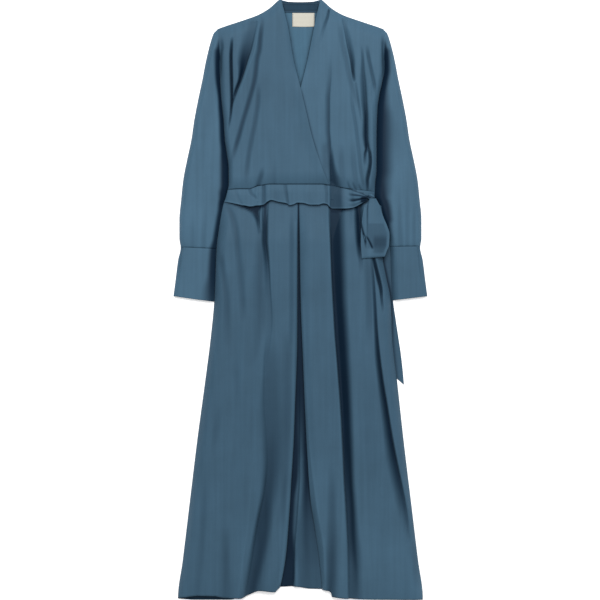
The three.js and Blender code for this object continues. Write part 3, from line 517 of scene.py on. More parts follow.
RIGHT_SKIRT_FOLDS = [
    # the deep fold, sharp towards the centre
    Fold([
        (470, 69, 16, 4, 40, 0.86), (540, 71, 18, 4, 38, 0.92), (634, 74, 19, 4, 38, 0.96),
        (705, 77.5, 19, 4, 36, 0.98), (776, 81.5, 19, 4, 37, 0.98), (846, 87, 19, 4, 35, 0.97),
        (940, 94.5, 19, 4, 31, 0.97), (1058, 101.5, 18, 5, 27, 0.93), (1128, 104.5, 16, 5, 26, 0.86),
        (1175, 107.5, 14, 5, 27, 0.8), (1245, 111, 12, 5, 30, 0.72), (1316, 114, 10, 7, 35, 0.55),
        (1407, 115, 8, 7, 35, 0.38),
    ], soft="right", flat=0.46),
    Fold([
        (1034, 112, 0, 6, 6, 0), (1128, 116, 2, 9, 6, 0.3), (1199, 120, 3, 10, 7, 0.5),
        (1246, 121, 3, 10, 8, 0.58), (1292, 124, 3, 12, 8, 0.52), (1340, 128, 2, 12, 9, 0.3),
        (1407, 130, 0, 10, 8, 0.1),
    ], soft="left right"),
    Fold([
        (500, 63, -1, 10, 4, -0.08), (900, 87, -1.5, 12, 4, -0.1), (1200, 101, -1.5, 12, 5, -0.14),
        (1407, 104, -1.5, 12, 6, -0.12),
    ]),
    # beside the bow loop
    Fold([
        (470, 140, 6, 16, 9, 0.7), (500, 140, 10, 17, 12, 0.98), (564, 141, 10, 15, 12, 0.98),
        (592, 142, 6, 13, 9, 0.7), (616, 143, 2, 10, 7, 0.32), (646, 144, 0, 9, 7, 0),
    ], soft="left", flat=0.35),
    # the side crease, sharp towards the side
    Fold([
        (606, 167, 1, 7, 3, 0.35), (646, 171, 3, 8, 3, 0.65), (705, 175, 6, 8, 3, 0.85),
        (775, 179, 9, 9, 3, 0.9), (846, 186, 13, 14, 3, 1), (905, 194, 15, 15, 3, 1),
        (952, 202, 16, 18, 3, 1), (1029, 214, 16, 22, 4, 1), (1104, 229, 15, 28, 4, 0.92),
        (1168, 242, 11, 28, 5, 0.75), (1222, 251, 6, 23, 5, 0.38), (1281, 258, 0, 14, 5, 0),
    ], soft="left"),
    # short hollow under the loop
    Fold([
        (602, 170, 6, 6, 6, 0.9), (630, 176, 12, 6, 7, 1), (658, 183, 13, 7, 7, 1),
        (681, 188, 10, 6, 6, 0.95), (705, 190, 6, 4, 4, 0.65), (738, 194, 0, 4, 4, 0),
    ], soft="left right"),
    # soft folds
    trough([(592, 157), (658, 160), (728, 161), (822, 160)], 2, 12, 0.28),
    trough([(881, 150), (1034, 160), (1245, 176)], 1, 26, 0.07),
    Fold([
        (1081, 73, 0, 14, 14, 0), (1175, 74, 2.6, 17, 17, 0.35), (1246, 74, 2.6, 18, 20, 0.46),
        (1292, 73, 3, 19, 22, 0.6), (1351, 72, 3, 20, 24, 0.66), (1407, 70, 3, 20, 24, 0.6),
    ], soft="left right"),
    trough([(1245, 263), (1316, 268), (1386, 275)], 1.5, 15, 0.22),
    # the light roll beside the slit
    Fold([
        (700, 4, -1, 5, 8, -0.08), (1034, 20, -1.5, 5, 9, -0.12), (1187, 38, -2, 8, 10, -0.15),
        (1292, 54, -2, 12, 10, -0.16), (1386, 59, -2, 12, 10, -0.14),
    ]),
]

LEFT_SLEEVE_FOLDS = [
    trough([(141, -207), (282, -219), (423, -237)], 1, 16, 0.1),
    # soft gathers over the cuff seam
    trough([(482, -221), (545, -226), (585, -228)], 1, 9, 0.13, open_end=True),
    trough([(505, -254), (555, -254), (585, -254)], 1, 9, 0.1, open_end=True),
]
RIGHT_SLEEVE_FOLDS = [
    trough([(141, 214), (305, 226), (423, 235)], 1, 14, 0.1),
    # soft gathers over the cuff seam
    trough([(446, 230), (529, 233), (585, 235)], 1.2, 9, 0.18, open_end=True),
    trough([(435, 251), (522, 250), (585, 250)], 1, 8, 0.14, open_end=True),
    trough([(470, 268), (529, 266), (585, 266)], 1, 7, 0.16, open_end=True),
]
LEFT_CUFF_FOLDS = [
    # the doubled edge
    Fold([(580, -277, 2, 4, 4, 0.35), (616, -281, 2, 4, 4, 0.35), (646, -284, 0, 4, 4, 0)]),
]
RIGHT_CUFF_FOLDS = [
    # the doubled edge, and a light roll down the middle
    Fold([(580, 275, 1.5, 4, 4, 0.25), (616, 278, 1.5, 4, 4, 0.25), (658, 282, 0, 4, 4, 0)]),
    Fold([(592, 226, 0, 9, 9, 0), (646, 228, -1, 12, 12, 0), (706, 230, -1, 12, 12, 0)]),
]

SASH_FOLDS = [
    # over the deep fold of the skirt
    Fold([(428, 71, 6, 4, 36, 0.6), (496, 71, 6.5, 4, 36, 0.66)], soft="right", flat=0.6),
    # puckers
    Fold([
        (444, -120, 1.5, 5, 7, 0.3), (456, -115, 1.5, 6, 8, 0.34), (466, -105, 1, 7, 8, 0.22),
        (475, -98, 0, 6, 7, 0),
    ], soft="left right"),
    Fold([(445, -152, 0, 7, 7, 0), (462, -147, 1, 8, 7, 0.14), (482, -138, 1, 9, 7, 0.2)], soft="left right"),
    Fold([(452, -103, -1, 6, 5, -0.1), (474, -99, -1, 6, 5, -0.12)], soft="left right"),
    Fold([
        (434, 60, 1.5, 7, 5, 0.25), (458, 62, 1.5, 6, 5, 0.3), (482, 62, 1.5, 6, 5, 0.3),
    ], soft="left right"),
    Fold([
        (428, -86, 3, 6, 7, 0.55), (462, -86, 3, 6, 8, 0.4), (486, -86, 2.5, 7, 9, 0.45),
    ], soft="left right"),
    Fold([(430, -74, -1, 5, 6, -0.08), (480, -72, -1, 5, 6, -0.08)], soft="left right"),
    Fold([(430, -100, -1, 6, 5, -0.08), (484, -104, -1.5, 8, 6, -0.1)], soft="left right"),
    Fold([(430, -35, 1.5, 9, 5, 0.3), (458, -31, 2, 9, 4, 0.42), (486, -27, 1.5, 7, 4, 0.42)], soft="left"),
    Fold([
        (436, -58, 0, 10, 10, 0), (470, -56, 1, 10, 10, 0.14), (486, -55, 1, 10, 10, 0.14),
    ], soft="left right"),
    Fold([(440, 20, 0, 9, 9, 0), (486, 24, 1, 10, 9, 0.12)], soft="left right"),
    # the light turn of its free edge, left of the knot
    Fold([(440, 96, 0, 8, 8, 0), (470, 98, -1, 9, 9, -0.08), (492, 100, 0, 8, 8, 0)], soft="left right"),
    trough([(440, 115), (470, 122), (491, 125)], 1.5, 7, 0.2),
]

LOOP_FOLDS = [
    # the crease down from the knot, and the wrinkles inside the turn
    Fold([
        (468, 160, 3, 3, 4, 0.8), (482, 157, 2.5, 3, 3.5, 0.6), (505, 156, 2.5, 3, 3.5, 0.6),
        (529, 156, 1.5, 3, 3, 0.5), (552, 156, 1, 3, 3, 0.4), (566, 157, 0, 3, 3, 0),
    ]),
    trough([(522, 141), (534, 143), (550, 147), (564, 151), (576, 153)], 3, 3.4, 1),
    trough([(548, 146), (558, 149), (570, 151), (586, 152)], 2, 3, 0.75),
    trough([(554, 152), (562, 157), (571, 162), (580, 166), (588, 169)], 3, 3.6, 1),
    # painted highlights: a strip at its inner side, and the turn at its foot
    Fold([
        (490, 149, -1, 5, 6, -0.1), (540, 149, -1, 5, 6, -0.12), (560, 152, 0, 5, 6, 0),
    ], soft="left right"),
    Fold([
        (584, 160, 0, 18, 26, -0.05), (596, 160, -1, 18, 26, -0.16), (612, 160, -1, 18, 26, -0.1),
    ], soft="left right"),
]

UNDERLAY_RIDGE = Fold([
    (446, 0, -1, 5, 20, 0), (870, 0, -4, 5, 20, 0), (1104, 0, -5, 5, 22, 0), (1210, -6, -7, 5, 30, 0),
    (1292, -12, -8, 5, 34, 0), (1400, -14, -8, 5, 40, 0),
])
UNDERLAY_FOLDS = [
    # a painted light strip, and the painted shade of the hollow beside it
    Fold([
        (870, 1, 0, 4, 4, -0.4), (1058, 1, 0, 4, 4, -0.2), (1116, 2, 0, 5, 5, -0.15),
        (1175, -1, 0, 6, 6, -0.35), (1234, -5, 0, 7, 7, -0.1), (1292, -8, 0, 7, 7, -0.15),
        (1345, -9, 0, 4, 9, -0.5), (1384, -9, 0, 4, 9, -0.5),
    ], soft="left right"),
    Fold([
        (1081, 10, 0, 7, 8, 0.3), (1200, 10, 0, 11, 12, 0.4), (1316, 12, 0, 12, 18, 0.25),
        (1384, 14, 0, 12, 20, 0.05),
    ], soft="left right"),
]

# the painted shade of each stretch where no fold crosses it, darker where less light falls: down, shade
OVER_PAINTED_SHADE = line([[0, 0.12], [150, 0.22], [452, 0.15]])
UNDER_PAINTED_SHADE = line([[0, 0.06], [250, 0.06], [452, 0.15]])
LEFT_SKIRT_PAINTED_SHADE = line([[452, 0.22], [950, 0.23], [1380, 0.14]])
RIGHT_SKIRT_PAINTED_SHADE = line([[452, 0.22], [950, 0.23], [1200, 0.1], [1380, 0.02]])
CUFF_PAINTED_SHADE = {"left": 0.02, "right": 0.16}
SASH_PAINTED_SHADE = 0.13
# the painted shade of the tail: down, all over, and beside the skirt
TAIL_SHADE = line_of([
    (484, 0.5, 0), (590, 0.5, 0.9), (620, 0.5, 1), (690, 0.5, 1), (720, 0.36, 0.9), (780, 0.3, 0.7),
    (904, 0.26, 0.4),
])
# the painted shade of the seam line along the sash, and of the crease that goes on from it to the knot:
# across, dark
SASH_SEAM_SHADE = line([[-178, 0.32], [95, 0.32], [104, 0.1], [116, 0.15], [124, 0.8], [155, 0.9]])
# the painted shadow under the sash: across, dark, reach
UNDER_SASH = line_of([
    (-177, 0.3, 5), (-150, 0.7, 7), (-138, 0.95, 12), (-98, 1, 14), (-86, 0.8, 8), (-30, 0.55, 6),
    (40, 0.5, 6), (64, 0.6, 6), (74, 0.9, 9), (110, 0.75, 9), (155, 0.6, 8),
])

# Painted shade in the gap between a sleeve and the body: how far it is dark from the body's side, over how
# much it fades after that, and how dark it is. Its columns are down, near, fade, dark.
ARMHOLE = {
    "left": [
        (90, 0, 4, 0), (110, 1, 8, 0.8), (124, 4, 12, 1), (170, 6, 9, 1), (235, 3, 7, 1), (260, 4, 8, 1),
        (340, 6, 10, 1), (400, 12, 12, 1), (450, 12, 12, 1), (475, 7, 10, 1), (500, 4, 9, 0.95),
        (560, 4, 10, 0.95), (590, 8, 14, 0.95), (640, 9, 14, 0.95), (680, 7, 26, 0.9), (709, 5, 30, 0.8),
    ],
    "right": [
        (90, 0, 4, 0), (110, 1, 8, 0.8), (124, 5, 12, 1), (200, 7, 13, 1), (235, 9, 20, 1), (282, 12, 34, 1),
        (317, 12, 38, 1), (352, 12, 36, 1), (400, 13, 34, 1), (423, 12, 33, 1), (446, 16, 28, 1),
        (480, 22, 16, 1), (515, 17, 15, 1), (529, 10, 15, 1), (560, 3, 14, 0.7), (580, 0, 9, 0.4),
        (620, 0, 10, 0.4), (709, 0, 12, 0.36),
    ],
}
# The painted shade on the underlay beside each panel of the skirt, with the same columns.
UNDERLAY_BAND = {
    "left": line_of([
        (446, 1, 4, 1), (870, 1, 4, 1), (999, 3, 8, 1), (1058, 7, 11, 1), (1116, 10, 8, 1), (1175, 5, 9, 1),
        (1234, 6, 9, 1), (1292, 13, 11, 1), (1330, 20, 7, 0.95), (1351, 25, 4, 0.95), (1384, 30, 4, 0.95),
    ]),
    "right": line_of([
        (446, 1, 4, 1), (870, 1, 4, 1), (999, 2, 6, 1), (1058, 4, 8, 1), (1116, 5, 9, 1),
        (1175, 8, 14, 0.75), (1234, 14, 16, 0.4), (1292, 22, 14, 0.2), (1351, 22, 14, 0),
    ]),
}

# ---------------------------------------------------------------- making cloth


def placed(across, down, height):
    """The points in metres, in the frame's own axes."""
    return np.column_stack((across, MIDDLE - down, height)) * MM


def cells(millimetres, longer=1.0):
    """How many grid cells go along a length."""
    return max(2, round(millimetres * MM / (sizes().grid * longer)))


def cloth(name, columns, rows, place, looks=("face", "inside")):
    """A thin shell over a grid. `place` turns fractions across and down into across, down, height, shade."""
    bm = bmesh.new()
    bmesh.ops.create_grid(bm, x_segments=columns, y_segments=rows, size=1)
    s = np.array([v.co.x for v in bm.verts]) / 2 + 0.5
    t = 0.5 - np.array([v.co.y for v in bm.verts]) / 2
    across, down, height, shade = place(s, t)
    layer = bm.verts.layers.float.new("shade")
    for vertex, point, dark in zip(bm.verts, placed(across, down, height), shade):
        vertex.co = point
        vertex[layer] = dark
    piece = finished(name, bm, [crepe(look) for look in looks])
    shell = piece.modifiers.new("Thickness", "SOLIDIFY")
    shell.thickness = sizes().thickness
    shell.offset = -1
    shell.material_offset = 1
    return piece


def finished(name, bm, materials):
    """The bmesh as a smooth object that carries the materials."""
    for face in bm.faces:
        face.smooth = True
    mesh = bpy.data.meshes.new(name)
    bm.to_mesh(mesh)
    bm.free()
    for material in materials:
        mesh.materials.append(material)
    piece = bpy.data.objects.new(name, mesh)
    bpy.context.scene.collection.objects.link(piece)
    return piece


def stands_for(piece, node):
    """The piece rides on the dress, and replaces the frame's node."""
    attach(piece, "root")
    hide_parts(node)
    return piece


STITCH_PITCH = 1.25  # a stitch with the gap after it, in stitch lengths
STITCH_PARTS = (0.1, 0.5, 0.9)  # where a stitch starts, has its middle and ends, in its share of the row
THREAD_WIDTH = 0.5
THREAD_HEIGHT = 0.4


def stitches(name, rows):
    """Rows of machine stitches. Each row is the across, down and height of places along it."""
    bm = bmesh.new()
    length = sizes().stitch
    for row in rows:
        points = placed(*row)
        run = np.concatenate(([0], np.cumsum(np.linalg.norm(np.diff(points, axis=0), axis=1))))
        count = max(1, int(run[-1] / (length * STITCH_PITCH)))
        for k in range(count):
            start, middle, end = (
                Vector([np.interp(run[-1] * (k + part) / count, run, points[:, axis]) for axis in range(3)])
                for part in STITCH_PARTS
            )
            turn = (end - start).to_track_quat("X", "Z").to_matrix().to_4x4()
            size = Matrix.Diagonal((length, THREAD_WIDTH * MM, THREAD_HEIGHT * MM, 1))
            bmesh.ops.create_cube(bm, size=1, matrix=Matrix.Translation(middle) @ turn @ size)
    piece = finished(name, bm, [thread()])
    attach(piece, "root")
    return piece


def outline(left, right, top, bottom, corners):
    """Turns fractions into places on a piece whose sides are lines down and whose ends are lines across."""
    top_left, top_right, bottom_left, bottom_right = corners

    def at(s, t):
        left_down = lerp(top_left, bottom_left, t)
        right_down = lerp(top_right, bottom_right, t)
        top_across = lerp(left(top_left), right(top_right), s)
        bottom_across = lerp(left(bottom_left), right(bottom_right), s)
        across = lerp(left(left_down), right(right_down), s)
        down = (
            lerp(left_down, right_down, s)
            + (1 - t) * (top(top_across) - lerp(top_left, top_right, s))
            + t * (bottom(bottom_across) - lerp(bottom_left, bottom_right, s))
        )
        return across, down

    return at


def laid(shape, surface, floor):
    """Puts a surface over an outline, and keeps it a wall above its floor."""

    def place(s, t):
        across, down = shape(s, t)
        height, shade = surface(across, down)
        return across, down, np.maximum(height, floor + WALL), np.clip(shade, 0, 1)

    return place


# ---------------------------------------------------------------- finishes


def add_node(nodes, kind, inputs=None, **settings):
    """Adds a node with its settings, and sets or links its inputs."""
    node = nodes.new(kind)
    for key, value in settings.items():
        setattr(node, key, value)
    for key, value in (inputs or {}).items():
        if isinstance(value, bpy.types.NodeSocket):
            nodes.id_data.links.new(value, node.inputs[key])
        else:
            node.inputs[key].default_value = value
    return node


def new_material(name):
    """An empty material with its shader and output joined."""
    material = bpy.data.materials.new(name)
    material.use_nodes = True
    nodes = material.node_tree.nodes
    nodes.clear()
    shader = add_node(nodes, "ShaderNodeBsdfPrincipled")
    add_node(nodes, "ShaderNodeOutputMaterial", {"Surface": shader.outputs["BSDF"]})
    return material, nodes, shader


COLOUR_SWING = 0.07  # lighter and darker patches of the dye
WARP_STREAK = (130, 5, 20)  # streaks of the warp to a metre, across, along and through the cloth
STREAK_SWING = 0.05


def crepe(look):
    """Satin crepe, polyester, woven from highly twisted yarn: a fine irregular pebble over a faint weave,
    soft broad gloss on what faces the light, and painted shade in the folds from the `shade` attribute."""
    name = f"satin_crepe_{look}"
    if name in bpy.data.materials:
        return bpy.data.materials[name]
    material, nodes, shader = new_material(name)
    here = add_node(nodes, "ShaderNodeTexCoord").outputs["Object"]
    patches = add_node(
        nodes, "ShaderNodeTexNoise", {"Vector": here, "Scale": 9, "Detail": 3, "Roughness": 0.6}
    )
    pebble = add_node(
        nodes, "ShaderNodeTexNoise",
        {"Vector": here, "Scale": 0.5 / sizes().grain, "Detail": 2, "Roughness": 0.7},
    )
    # the real weave has about 40 threads to a centimetre, and is drawn six times as coarse to show
    threads = [
        add_node(
            nodes, "ShaderNodeTexWave",
            {"Vector": here, "Scale": 110, "Distortion": 1.2, "Detail": 1, "Detail Scale": 3},
            bands_direction=way,
        )
        for way in "XY"
    ]
    weave = add_node(
        nodes, "ShaderNodeMath",
        {0: threads[0].outputs["Fac"], 1: threads[1].outputs["Fac"]}, operation="MULTIPLY",
    )
    grain = add_node(
        nodes, "ShaderNodeMix",
        {"Factor": 0.35, 2: pebble.outputs["Fac"], 3: weave.outputs["Value"]}, data_type="FLOAT",
    )
    bump = add_node(
        nodes, "ShaderNodeBump", {"Height": grain.outputs[0], "Strength": 0.35, "Distance": 0.0004}
    )
    swing = add_node(
        nodes, "ShaderNodeMapRange",
        {"Value": patches.outputs["Fac"], "From Min": 0.3, "From Max": 0.7,
         "To Min": 1 - COLOUR_SWING, "To Max": 1 + COLOUR_SWING},
    )
    fleck = add_node(
        nodes, "ShaderNodeMapRange",
        {"Value": grain.outputs[0], "From Min": 0.2, "From Max": 0.8, "To Min": 0.93, "To Max": 1.07},
    )
    along_warp = add_node(nodes, "ShaderNodeMapping", {"Vector": here, "Scale": WARP_STREAK})
    warp = add_node(
        nodes, "ShaderNodeTexNoise", {"Vector": along_warp.outputs["Vector"], "Scale": 1, "Detail": 3}
    )
    streak = add_node(
        nodes, "ShaderNodeMapRange",
        {"Value": warp.outputs["Fac"], "From Min": 0.3, "From Max": 0.7,
         "To Min": 1 - STREAK_SWING, "To Max": 1 + STREAK_SWING},
    )
    # painted shade: the face colour goes towards the deep colour as far as the `shade` attribute says
    shade = add_node(nodes, "ShaderNodeAttribute", attribute_name="shade")
    face, deep = (*getattr(colours(), look), 1), (*colours().deep, 1)
    lit = add_node(
        nodes, "ShaderNodeMix", {"Factor": shade.outputs["Fac"], 6: face, 7: deep}, data_type="RGBA"
    )
    tone = swing.outputs["Result"]
    for other in (fleck, streak):
        tone = add_node(
            nodes, "ShaderNodeMath", {0: tone, 1: other.outputs["Result"]}, operation="MULTIPLY"
        ).outputs["Value"]
    dye = add_node(nodes, "ShaderNodeVectorMath", {0: lit.outputs[2], "Scale": tone}, operation="SCALE")
    nodes.id_data.links.new(dye.outputs["Vector"], shader.inputs["Base Color"])
    nodes.id_data.links.new(bump.outputs["Normal"], shader.inputs["Normal"])
    shader.inputs["Roughness"].default_value = 0.55
    shader.inputs["IOR"].default_value = 1.46
    shader.inputs["Specular IOR Level"].default_value = 0.13
    shader.inputs["Specular Tint"].default_value = (0.75, 0.87, 0.95, 1)
    shader.inputs["Sheen Weight"].default_value = 0.02
    shader.inputs["Sheen Roughness"].default_value = 0.45
    return material


def ribbon():
    """Woven polyester label ribbon: close ribs, matt, off-white, left bare."""
    material, nodes, shader = new_material("woven_label_ribbon")
    here = add_node(nodes, "ShaderNodeTexCoord").outputs["Object"]
    # ribs 1.5 mm apart, three times as coarse as the real ones, to show
    ribs = add_node(
        nodes, "ShaderNodeTexWave",
        {"Vector": here, "Scale": 105, "Distortion": 0.4, "Detail": 1}, bands_direction="Y",
    )
    fuzz = add_node(nodes, "ShaderNodeTexNoise", {"Vector": here, "Scale": 260, "Detail": 3})
    weave = add_node(
        nodes, "ShaderNodeMix",
        {"Factor": 0.4, 2: ribs.outputs["Fac"], 3: fuzz.outputs["Fac"]}, data_type="FLOAT",
    )
    tone = add_node(
        nodes, "ShaderNodeMapRange",
        {"Value": weave.outputs[0], "From Min": 0.1, "From Max": 0.9, "To Min": 0.86, "To Max": 1.04},
    )
    dye = add_node(
        nodes, "ShaderNodeVectorMath",
        {0: (*colours().label,), "Scale": tone.outputs["Result"]}, operation="SCALE",
    )
    bump = add_node(
        nodes, "ShaderNodeBump", {"Height": weave.outputs[0], "Strength": 0.4, "Distance": 0.0004}
    )
    nodes.id_data.links.new(dye.outputs["Vector"], shader.inputs["Base Color"])
    nodes.id_data.links.new(bump.outputs["Normal"], shader.inputs["Normal"])
    shader.inputs["Roughness"].default_value = 0.7
    return material


def thread():
    """Spun polyester sewing thread: matt, with the twist of its two plies."""
    if "sewing_thread" in bpy.data.materials:
        return bpy.data.materials["sewing_thread"]
    material, nodes, shader = new_material("sewing_thread")
    here = add_node(nodes, "ShaderNodeTexCoord").outputs["Object"]
    twist = add_node(nodes, "ShaderNodeTexNoise", {"Vector": here, "Scale": 900, "Detail": 2})
    tone = add_node(
        nodes, "ShaderNodeMapRange",
        {"Value": twist.outputs["Fac"], "From Min": 0.3, "From Max": 0.7, "To Min": 0.8, "To Max": 1.15},
    )
    dye = add_node(
        nodes, "ShaderNodeVectorMath",
        {0: (*colours().thread,), "Scale": tone.outputs["Result"]}, operation="SCALE",
    )
    nodes.id_data.links.new(dye.outputs["Vector"], shader.inputs["Base Color"])
    shader.inputs["Roughness"].default_value = 0.6
    return material


def paper():
    """Seamless studio paper: white, matt, with a fine tooth."""
    material, nodes, shader = new_material("studio_paper")
    here = add_node(nodes, "ShaderNodeTexCoord").outputs["Object"]
    tooth = add_node(nodes, "ShaderNodeTexNoise", {"Vector": here, "Scale": 400, "Detail": 2})
    bump = add_node(
        nodes, "ShaderNodeBump", {"Height": tooth.outputs["Fac"], "Strength": 0.1, "Distance": 0.0002}
    )
    nodes.id_data.links.new(bump.outputs["Normal"], shader.inputs["Normal"])
    shader.inputs["Base Color"].default_value = (*colours().floor, 1)
    # light that comes through from below, which takes the shadows off
    shader.inputs["Emission Color"].default_value = (*colours().floor, 1)
    shader.inputs["Emission Strength"].default_value = 0.35
    shader.inputs["Roughness"].default_value = 0.9
    return material


# ---------------------------------------------------------------- operators


class DRESS_OT_stage(bpy.types.Operator):
    """Makes the camera, the lights, the sky and the paper floor"""

    bl_idname = "dress.stage"
    bl_label = "Stage"

    CAMERA = (-0.001, -0.001, 4.5)
    CLOTH_HEIGHT = 0.015  # half way up the cloth, where the camera sees VIEW_WIDTH
    VIEW_WIDTH = 1.403
    SENSOR = 36
    CLIP_END = 30
    SOFTBOX = (0.15, 1.6, 3.2)
    SOFTBOX_SIZE = 2.0
    SOFTBOX_POWER = 105
    SKY = 0.5
    FLOOR_SIZE = 60.0
    FLOOR_DROP = 0.0004

    def execute(self, context):
        self.make_camera(context.scene)
        self.make_lights(context.scene)
        self.make_floor()
        return {"FINISHED"}

    def make_camera(self, scene):
        camera = bpy.data.objects.new("camera", bpy.data.cameras.new("camera"))
        camera.location = self.CAMERA
        camera.data.sensor_width = self.SENSOR
        camera.data.lens = self.SENSOR * (self.CAMERA[2] - self.CLOTH_HEIGHT) / self.VIEW_WIDTH
        camera.data.clip_end = self.CLIP_END
        scene.collection.objects.link(camera)
        scene.camera = camera

    def make_lights(self, scene):
        softbox = bpy.data.objects.new("softbox", bpy.data.lights.new("softbox", "AREA"))
        softbox.location = self.SOFTBOX
        softbox.rotation_euler = Vector(self.SOFTBOX).to_track_quat("Z", "Y").to_euler()
        softbox.data.size = self.SOFTBOX_SIZE
        softbox.data.energy = self.SOFTBOX_POWER
        scene.collection.objects.link(softbox)
        world = bpy.data.worlds.new("studio")
        world.use_nodes = True
        sky = world.node_tree.nodes["Background"]
        sky.inputs["Color"].default_value = (1, 1, 1, 1)
        sky.inputs["Strength"].default_value = self.SKY
        scene.world = world
        scene.view_settings.view_transform = "Standard"

    def make_floor(self):
        bm = bmesh.new()
        bmesh.ops.create_grid(bm, x_segments=1, y_segments=1, size=self.FLOOR_SIZE / 2)
        bmesh.ops.translate(bm, verts=bm.verts, vec=(0, 0, -self.FLOOR_DROP))
        finished("paper_floor", bm, [paper()])


class DRESS_OT_back(bpy.types.Operator):
    """Makes the back bodice, the back skirt, the neck band with its stitching, and the label"""

    bl_idname = "dress.back"
    bl_label = "Back, neck band and label"

    HALF_NECK = 49
    # a painted highlight down the middle of the back, where a pleat lies, seen through the neck opening
    PLEAT = Fold([
        (30, 1, 0, 9, 9, -0.1), (110, 1, 0, 8, 8, -0.1), (230, 1, 0, 4, 4, -0.1),
    ], soft="left right", flat=0.5)
    # the painted shadow of the fronts on the back, beside the neck opening
    NECK_SHADE = 0.6
    NECK_SHADE_REACH = 9
    NECK_SHADE_END = 230
    # the back skirt is narrower beside the tail, between these places down
    TAIL_CLEARANCE = 10
    TAIL_FROM = (558, 580)
    TAIL_TO = (935, 913)
    # painted shade on the inside of the back skirt, where it shows under the front hem
    INSIDE_SHADE = 0.85
    INSIDE_FROM = (1360, 1380)

    BAND_TOP = 5
    BAND_BOTTOM = 31
    BAND_BOW = 3
    HALF_BAND = 45
    BAND_GAP = 1.5
    BAND_STAND = 9
    # painted shade over the neck band, and more in the grooves of its stitching
    BAND_SHADE = 0.62
    STITCH_ROWS = (9.5, 14, 26)
    STITCH_INSET = 4
    STITCH_LIFT = 0.05
    ROW_POINTS = 40
    GROOVE_DEPTH = 0.4
    GROOVE_WIDTH = 0.9
    GROOVE_SHADE = 0.2

    LABEL_LEFT = -19
    LABEL_WIDTH = 52
    LABEL_TOP = 32
    LABEL_LENGTH = 32
    LABEL_SAG = 0.6
    LABEL_RIPPLE = 0.15
    LABEL_HEIGHT = BACK_TOP + SEAM_GAP + 1
    LABEL_STITCH_INSET = 1.5
    LABEL_STITCH_LIFT = 0.25
    LABEL_ROW_POINTS = 12

    def execute(self, context):
        self.bodice()
        self.skirt()
        self.neck_band()
        self.label()
        return {"FINISHED"}

    def bodice(self):
        def top(across):
            in_neck = np.abs(across) < self.HALF_NECK
            return np.where(in_neck, BACK_NECK(np.abs(across)), shoulder(across))

        shape = outline(
            LEFT_SIDE, RIGHT_SIDE, top, WAIST,
            [shoulder(LEFT_ARM), shoulder(RIGHT_ARM), WAIST(LEFT_WAIST), WAIST(RIGHT_WAIST)],
        )

        def surface(across, down):
            from_fronts = np.minimum(across - OVER_EDGE(down), UNDER_EDGE(down) - across)
            shadow = self.NECK_SHADE * (1 - rise(from_fronts, self.NECK_SHADE_REACH))
            shadow = shadow * (down < self.NECK_SHADE_END)
            return np.full_like(across, BACK_TOP), shaded(shadow, self.PLEAT.at(across, down)[1])

        place = laid(shape, surface, 0)
        piece = cloth("back_bodice_cloth", cells(390, 3), cells(450, 3), place, ("inside", "face"))
        stands_for(piece, "back_bodice")

    def skirt(self):
        def right(down):
            by_tail = ramp(down, *self.TAIL_FROM) * ramp(down, *self.TAIL_TO)
            return RIGHT_SIDE(down) - self.TAIL_CLEARANCE * by_tail

        shape = outline(
            LEFT_SIDE, right, WAIST, BACK_HEM,
            [WAIST(LEFT_WAIST), WAIST(RIGHT_WAIST), BACK_HEM(-HALF_HEM), BACK_HEM(HALF_HEM)],
        )

        def surface(across, down):
            return np.full_like(across, BACK_TOP), self.INSIDE_SHADE * ramp(down, *self.INSIDE_FROM)

        place = laid(shape, surface, 0)
        piece = cloth("skirt_back_cloth", cells(574, 3), cells(960, 5), place, ("inside", "face"))
        stands_for(piece, "skirt_back")

    def band_height(self, down):
        return ON_BACK + WALL + self.BAND_STAND * ramp(down, self.BAND_BOTTOM, self.BAND_TOP)

    def neck_band(self):
        top, bottom = self.BAND_TOP, self.BAND_BOTTOM
        shape = outline(
            lambda down: OVER_EDGE(down) + self.BAND_GAP,
            lambda down: UNDER_EDGE(down) - self.BAND_GAP,
            lambda across: top + self.BAND_BOW * (1 - (across / self.HALF_BAND) ** 2),
            lambda across: bottom + 0 * across,
            [top, top, bottom, bottom],
        )

        def surface(across, down):
            groove = sum(np.exp(-(((down - row) / self.GROOVE_WIDTH) ** 2)) for row in self.STITCH_ROWS)
            height = self.band_height(down) - self.GROOVE_DEPTH * groove
            return height, self.BAND_SHADE + self.GROOVE_SHADE * groove

        place = laid(shape, surface, ON_BACK)
        piece = cloth("back_neck_band_cloth", cells(90, 0.6), cells(26, 0.25), place)
        stands_for(piece, "back_neck_band")
        sewing = self.stitching()

    def stitching(self):
        rows = []
        for row in self.STITCH_ROWS:
            start = float(OVER_EDGE(row)) + self.STITCH_INSET
            end = float(UNDER_EDGE(row)) - self.STITCH_INSET
            across = np.linspace(start, end, self.ROW_POINTS)
            height = self.band_height(row) + self.STITCH_LIFT
            rows.append((across, row + 0 * across, height + 0 * across))
        return stitches("neck_band_stitching", rows)

    def label(self):
        def place(s, t):
            across = self.LABEL_LEFT + self.LABEL_WIDTH * s
            down = self.LABEL_TOP + self.LABEL_LENGTH * t + self.LABEL_SAG * np.sin(np.pi * s) * t
            height = self.LABEL_HEIGHT + self.LABEL_RIPPLE * np.sin(3 * np.pi * s) * t
            return across, down, height, 0 * s

        piece = cloth("label_ribbon", 30, 20, place)
        piece.data.materials.clear()
        piece.data.materials.append(ribbon())
        piece.modifiers["Thickness"].material_offset = 0
        stands_for(piece, "label")
        inset = self.LABEL_STITCH_INSET
        start, end = self.LABEL_TOP + inset, self.LABEL_TOP + self.LABEL_LENGTH - inset
        down = np.linspace(start, end, self.LABEL_ROW_POINTS)
        height = self.LABEL_HEIGHT + self.LABEL_STITCH_LIFT + 0 * down
        ends = [
            (self.LABEL_LEFT + edge + 0 * down, down, height) for edge in (inset, self.LABEL_WIDTH - inset)
        ]
        sewing = stitches("label_stitching", ends)


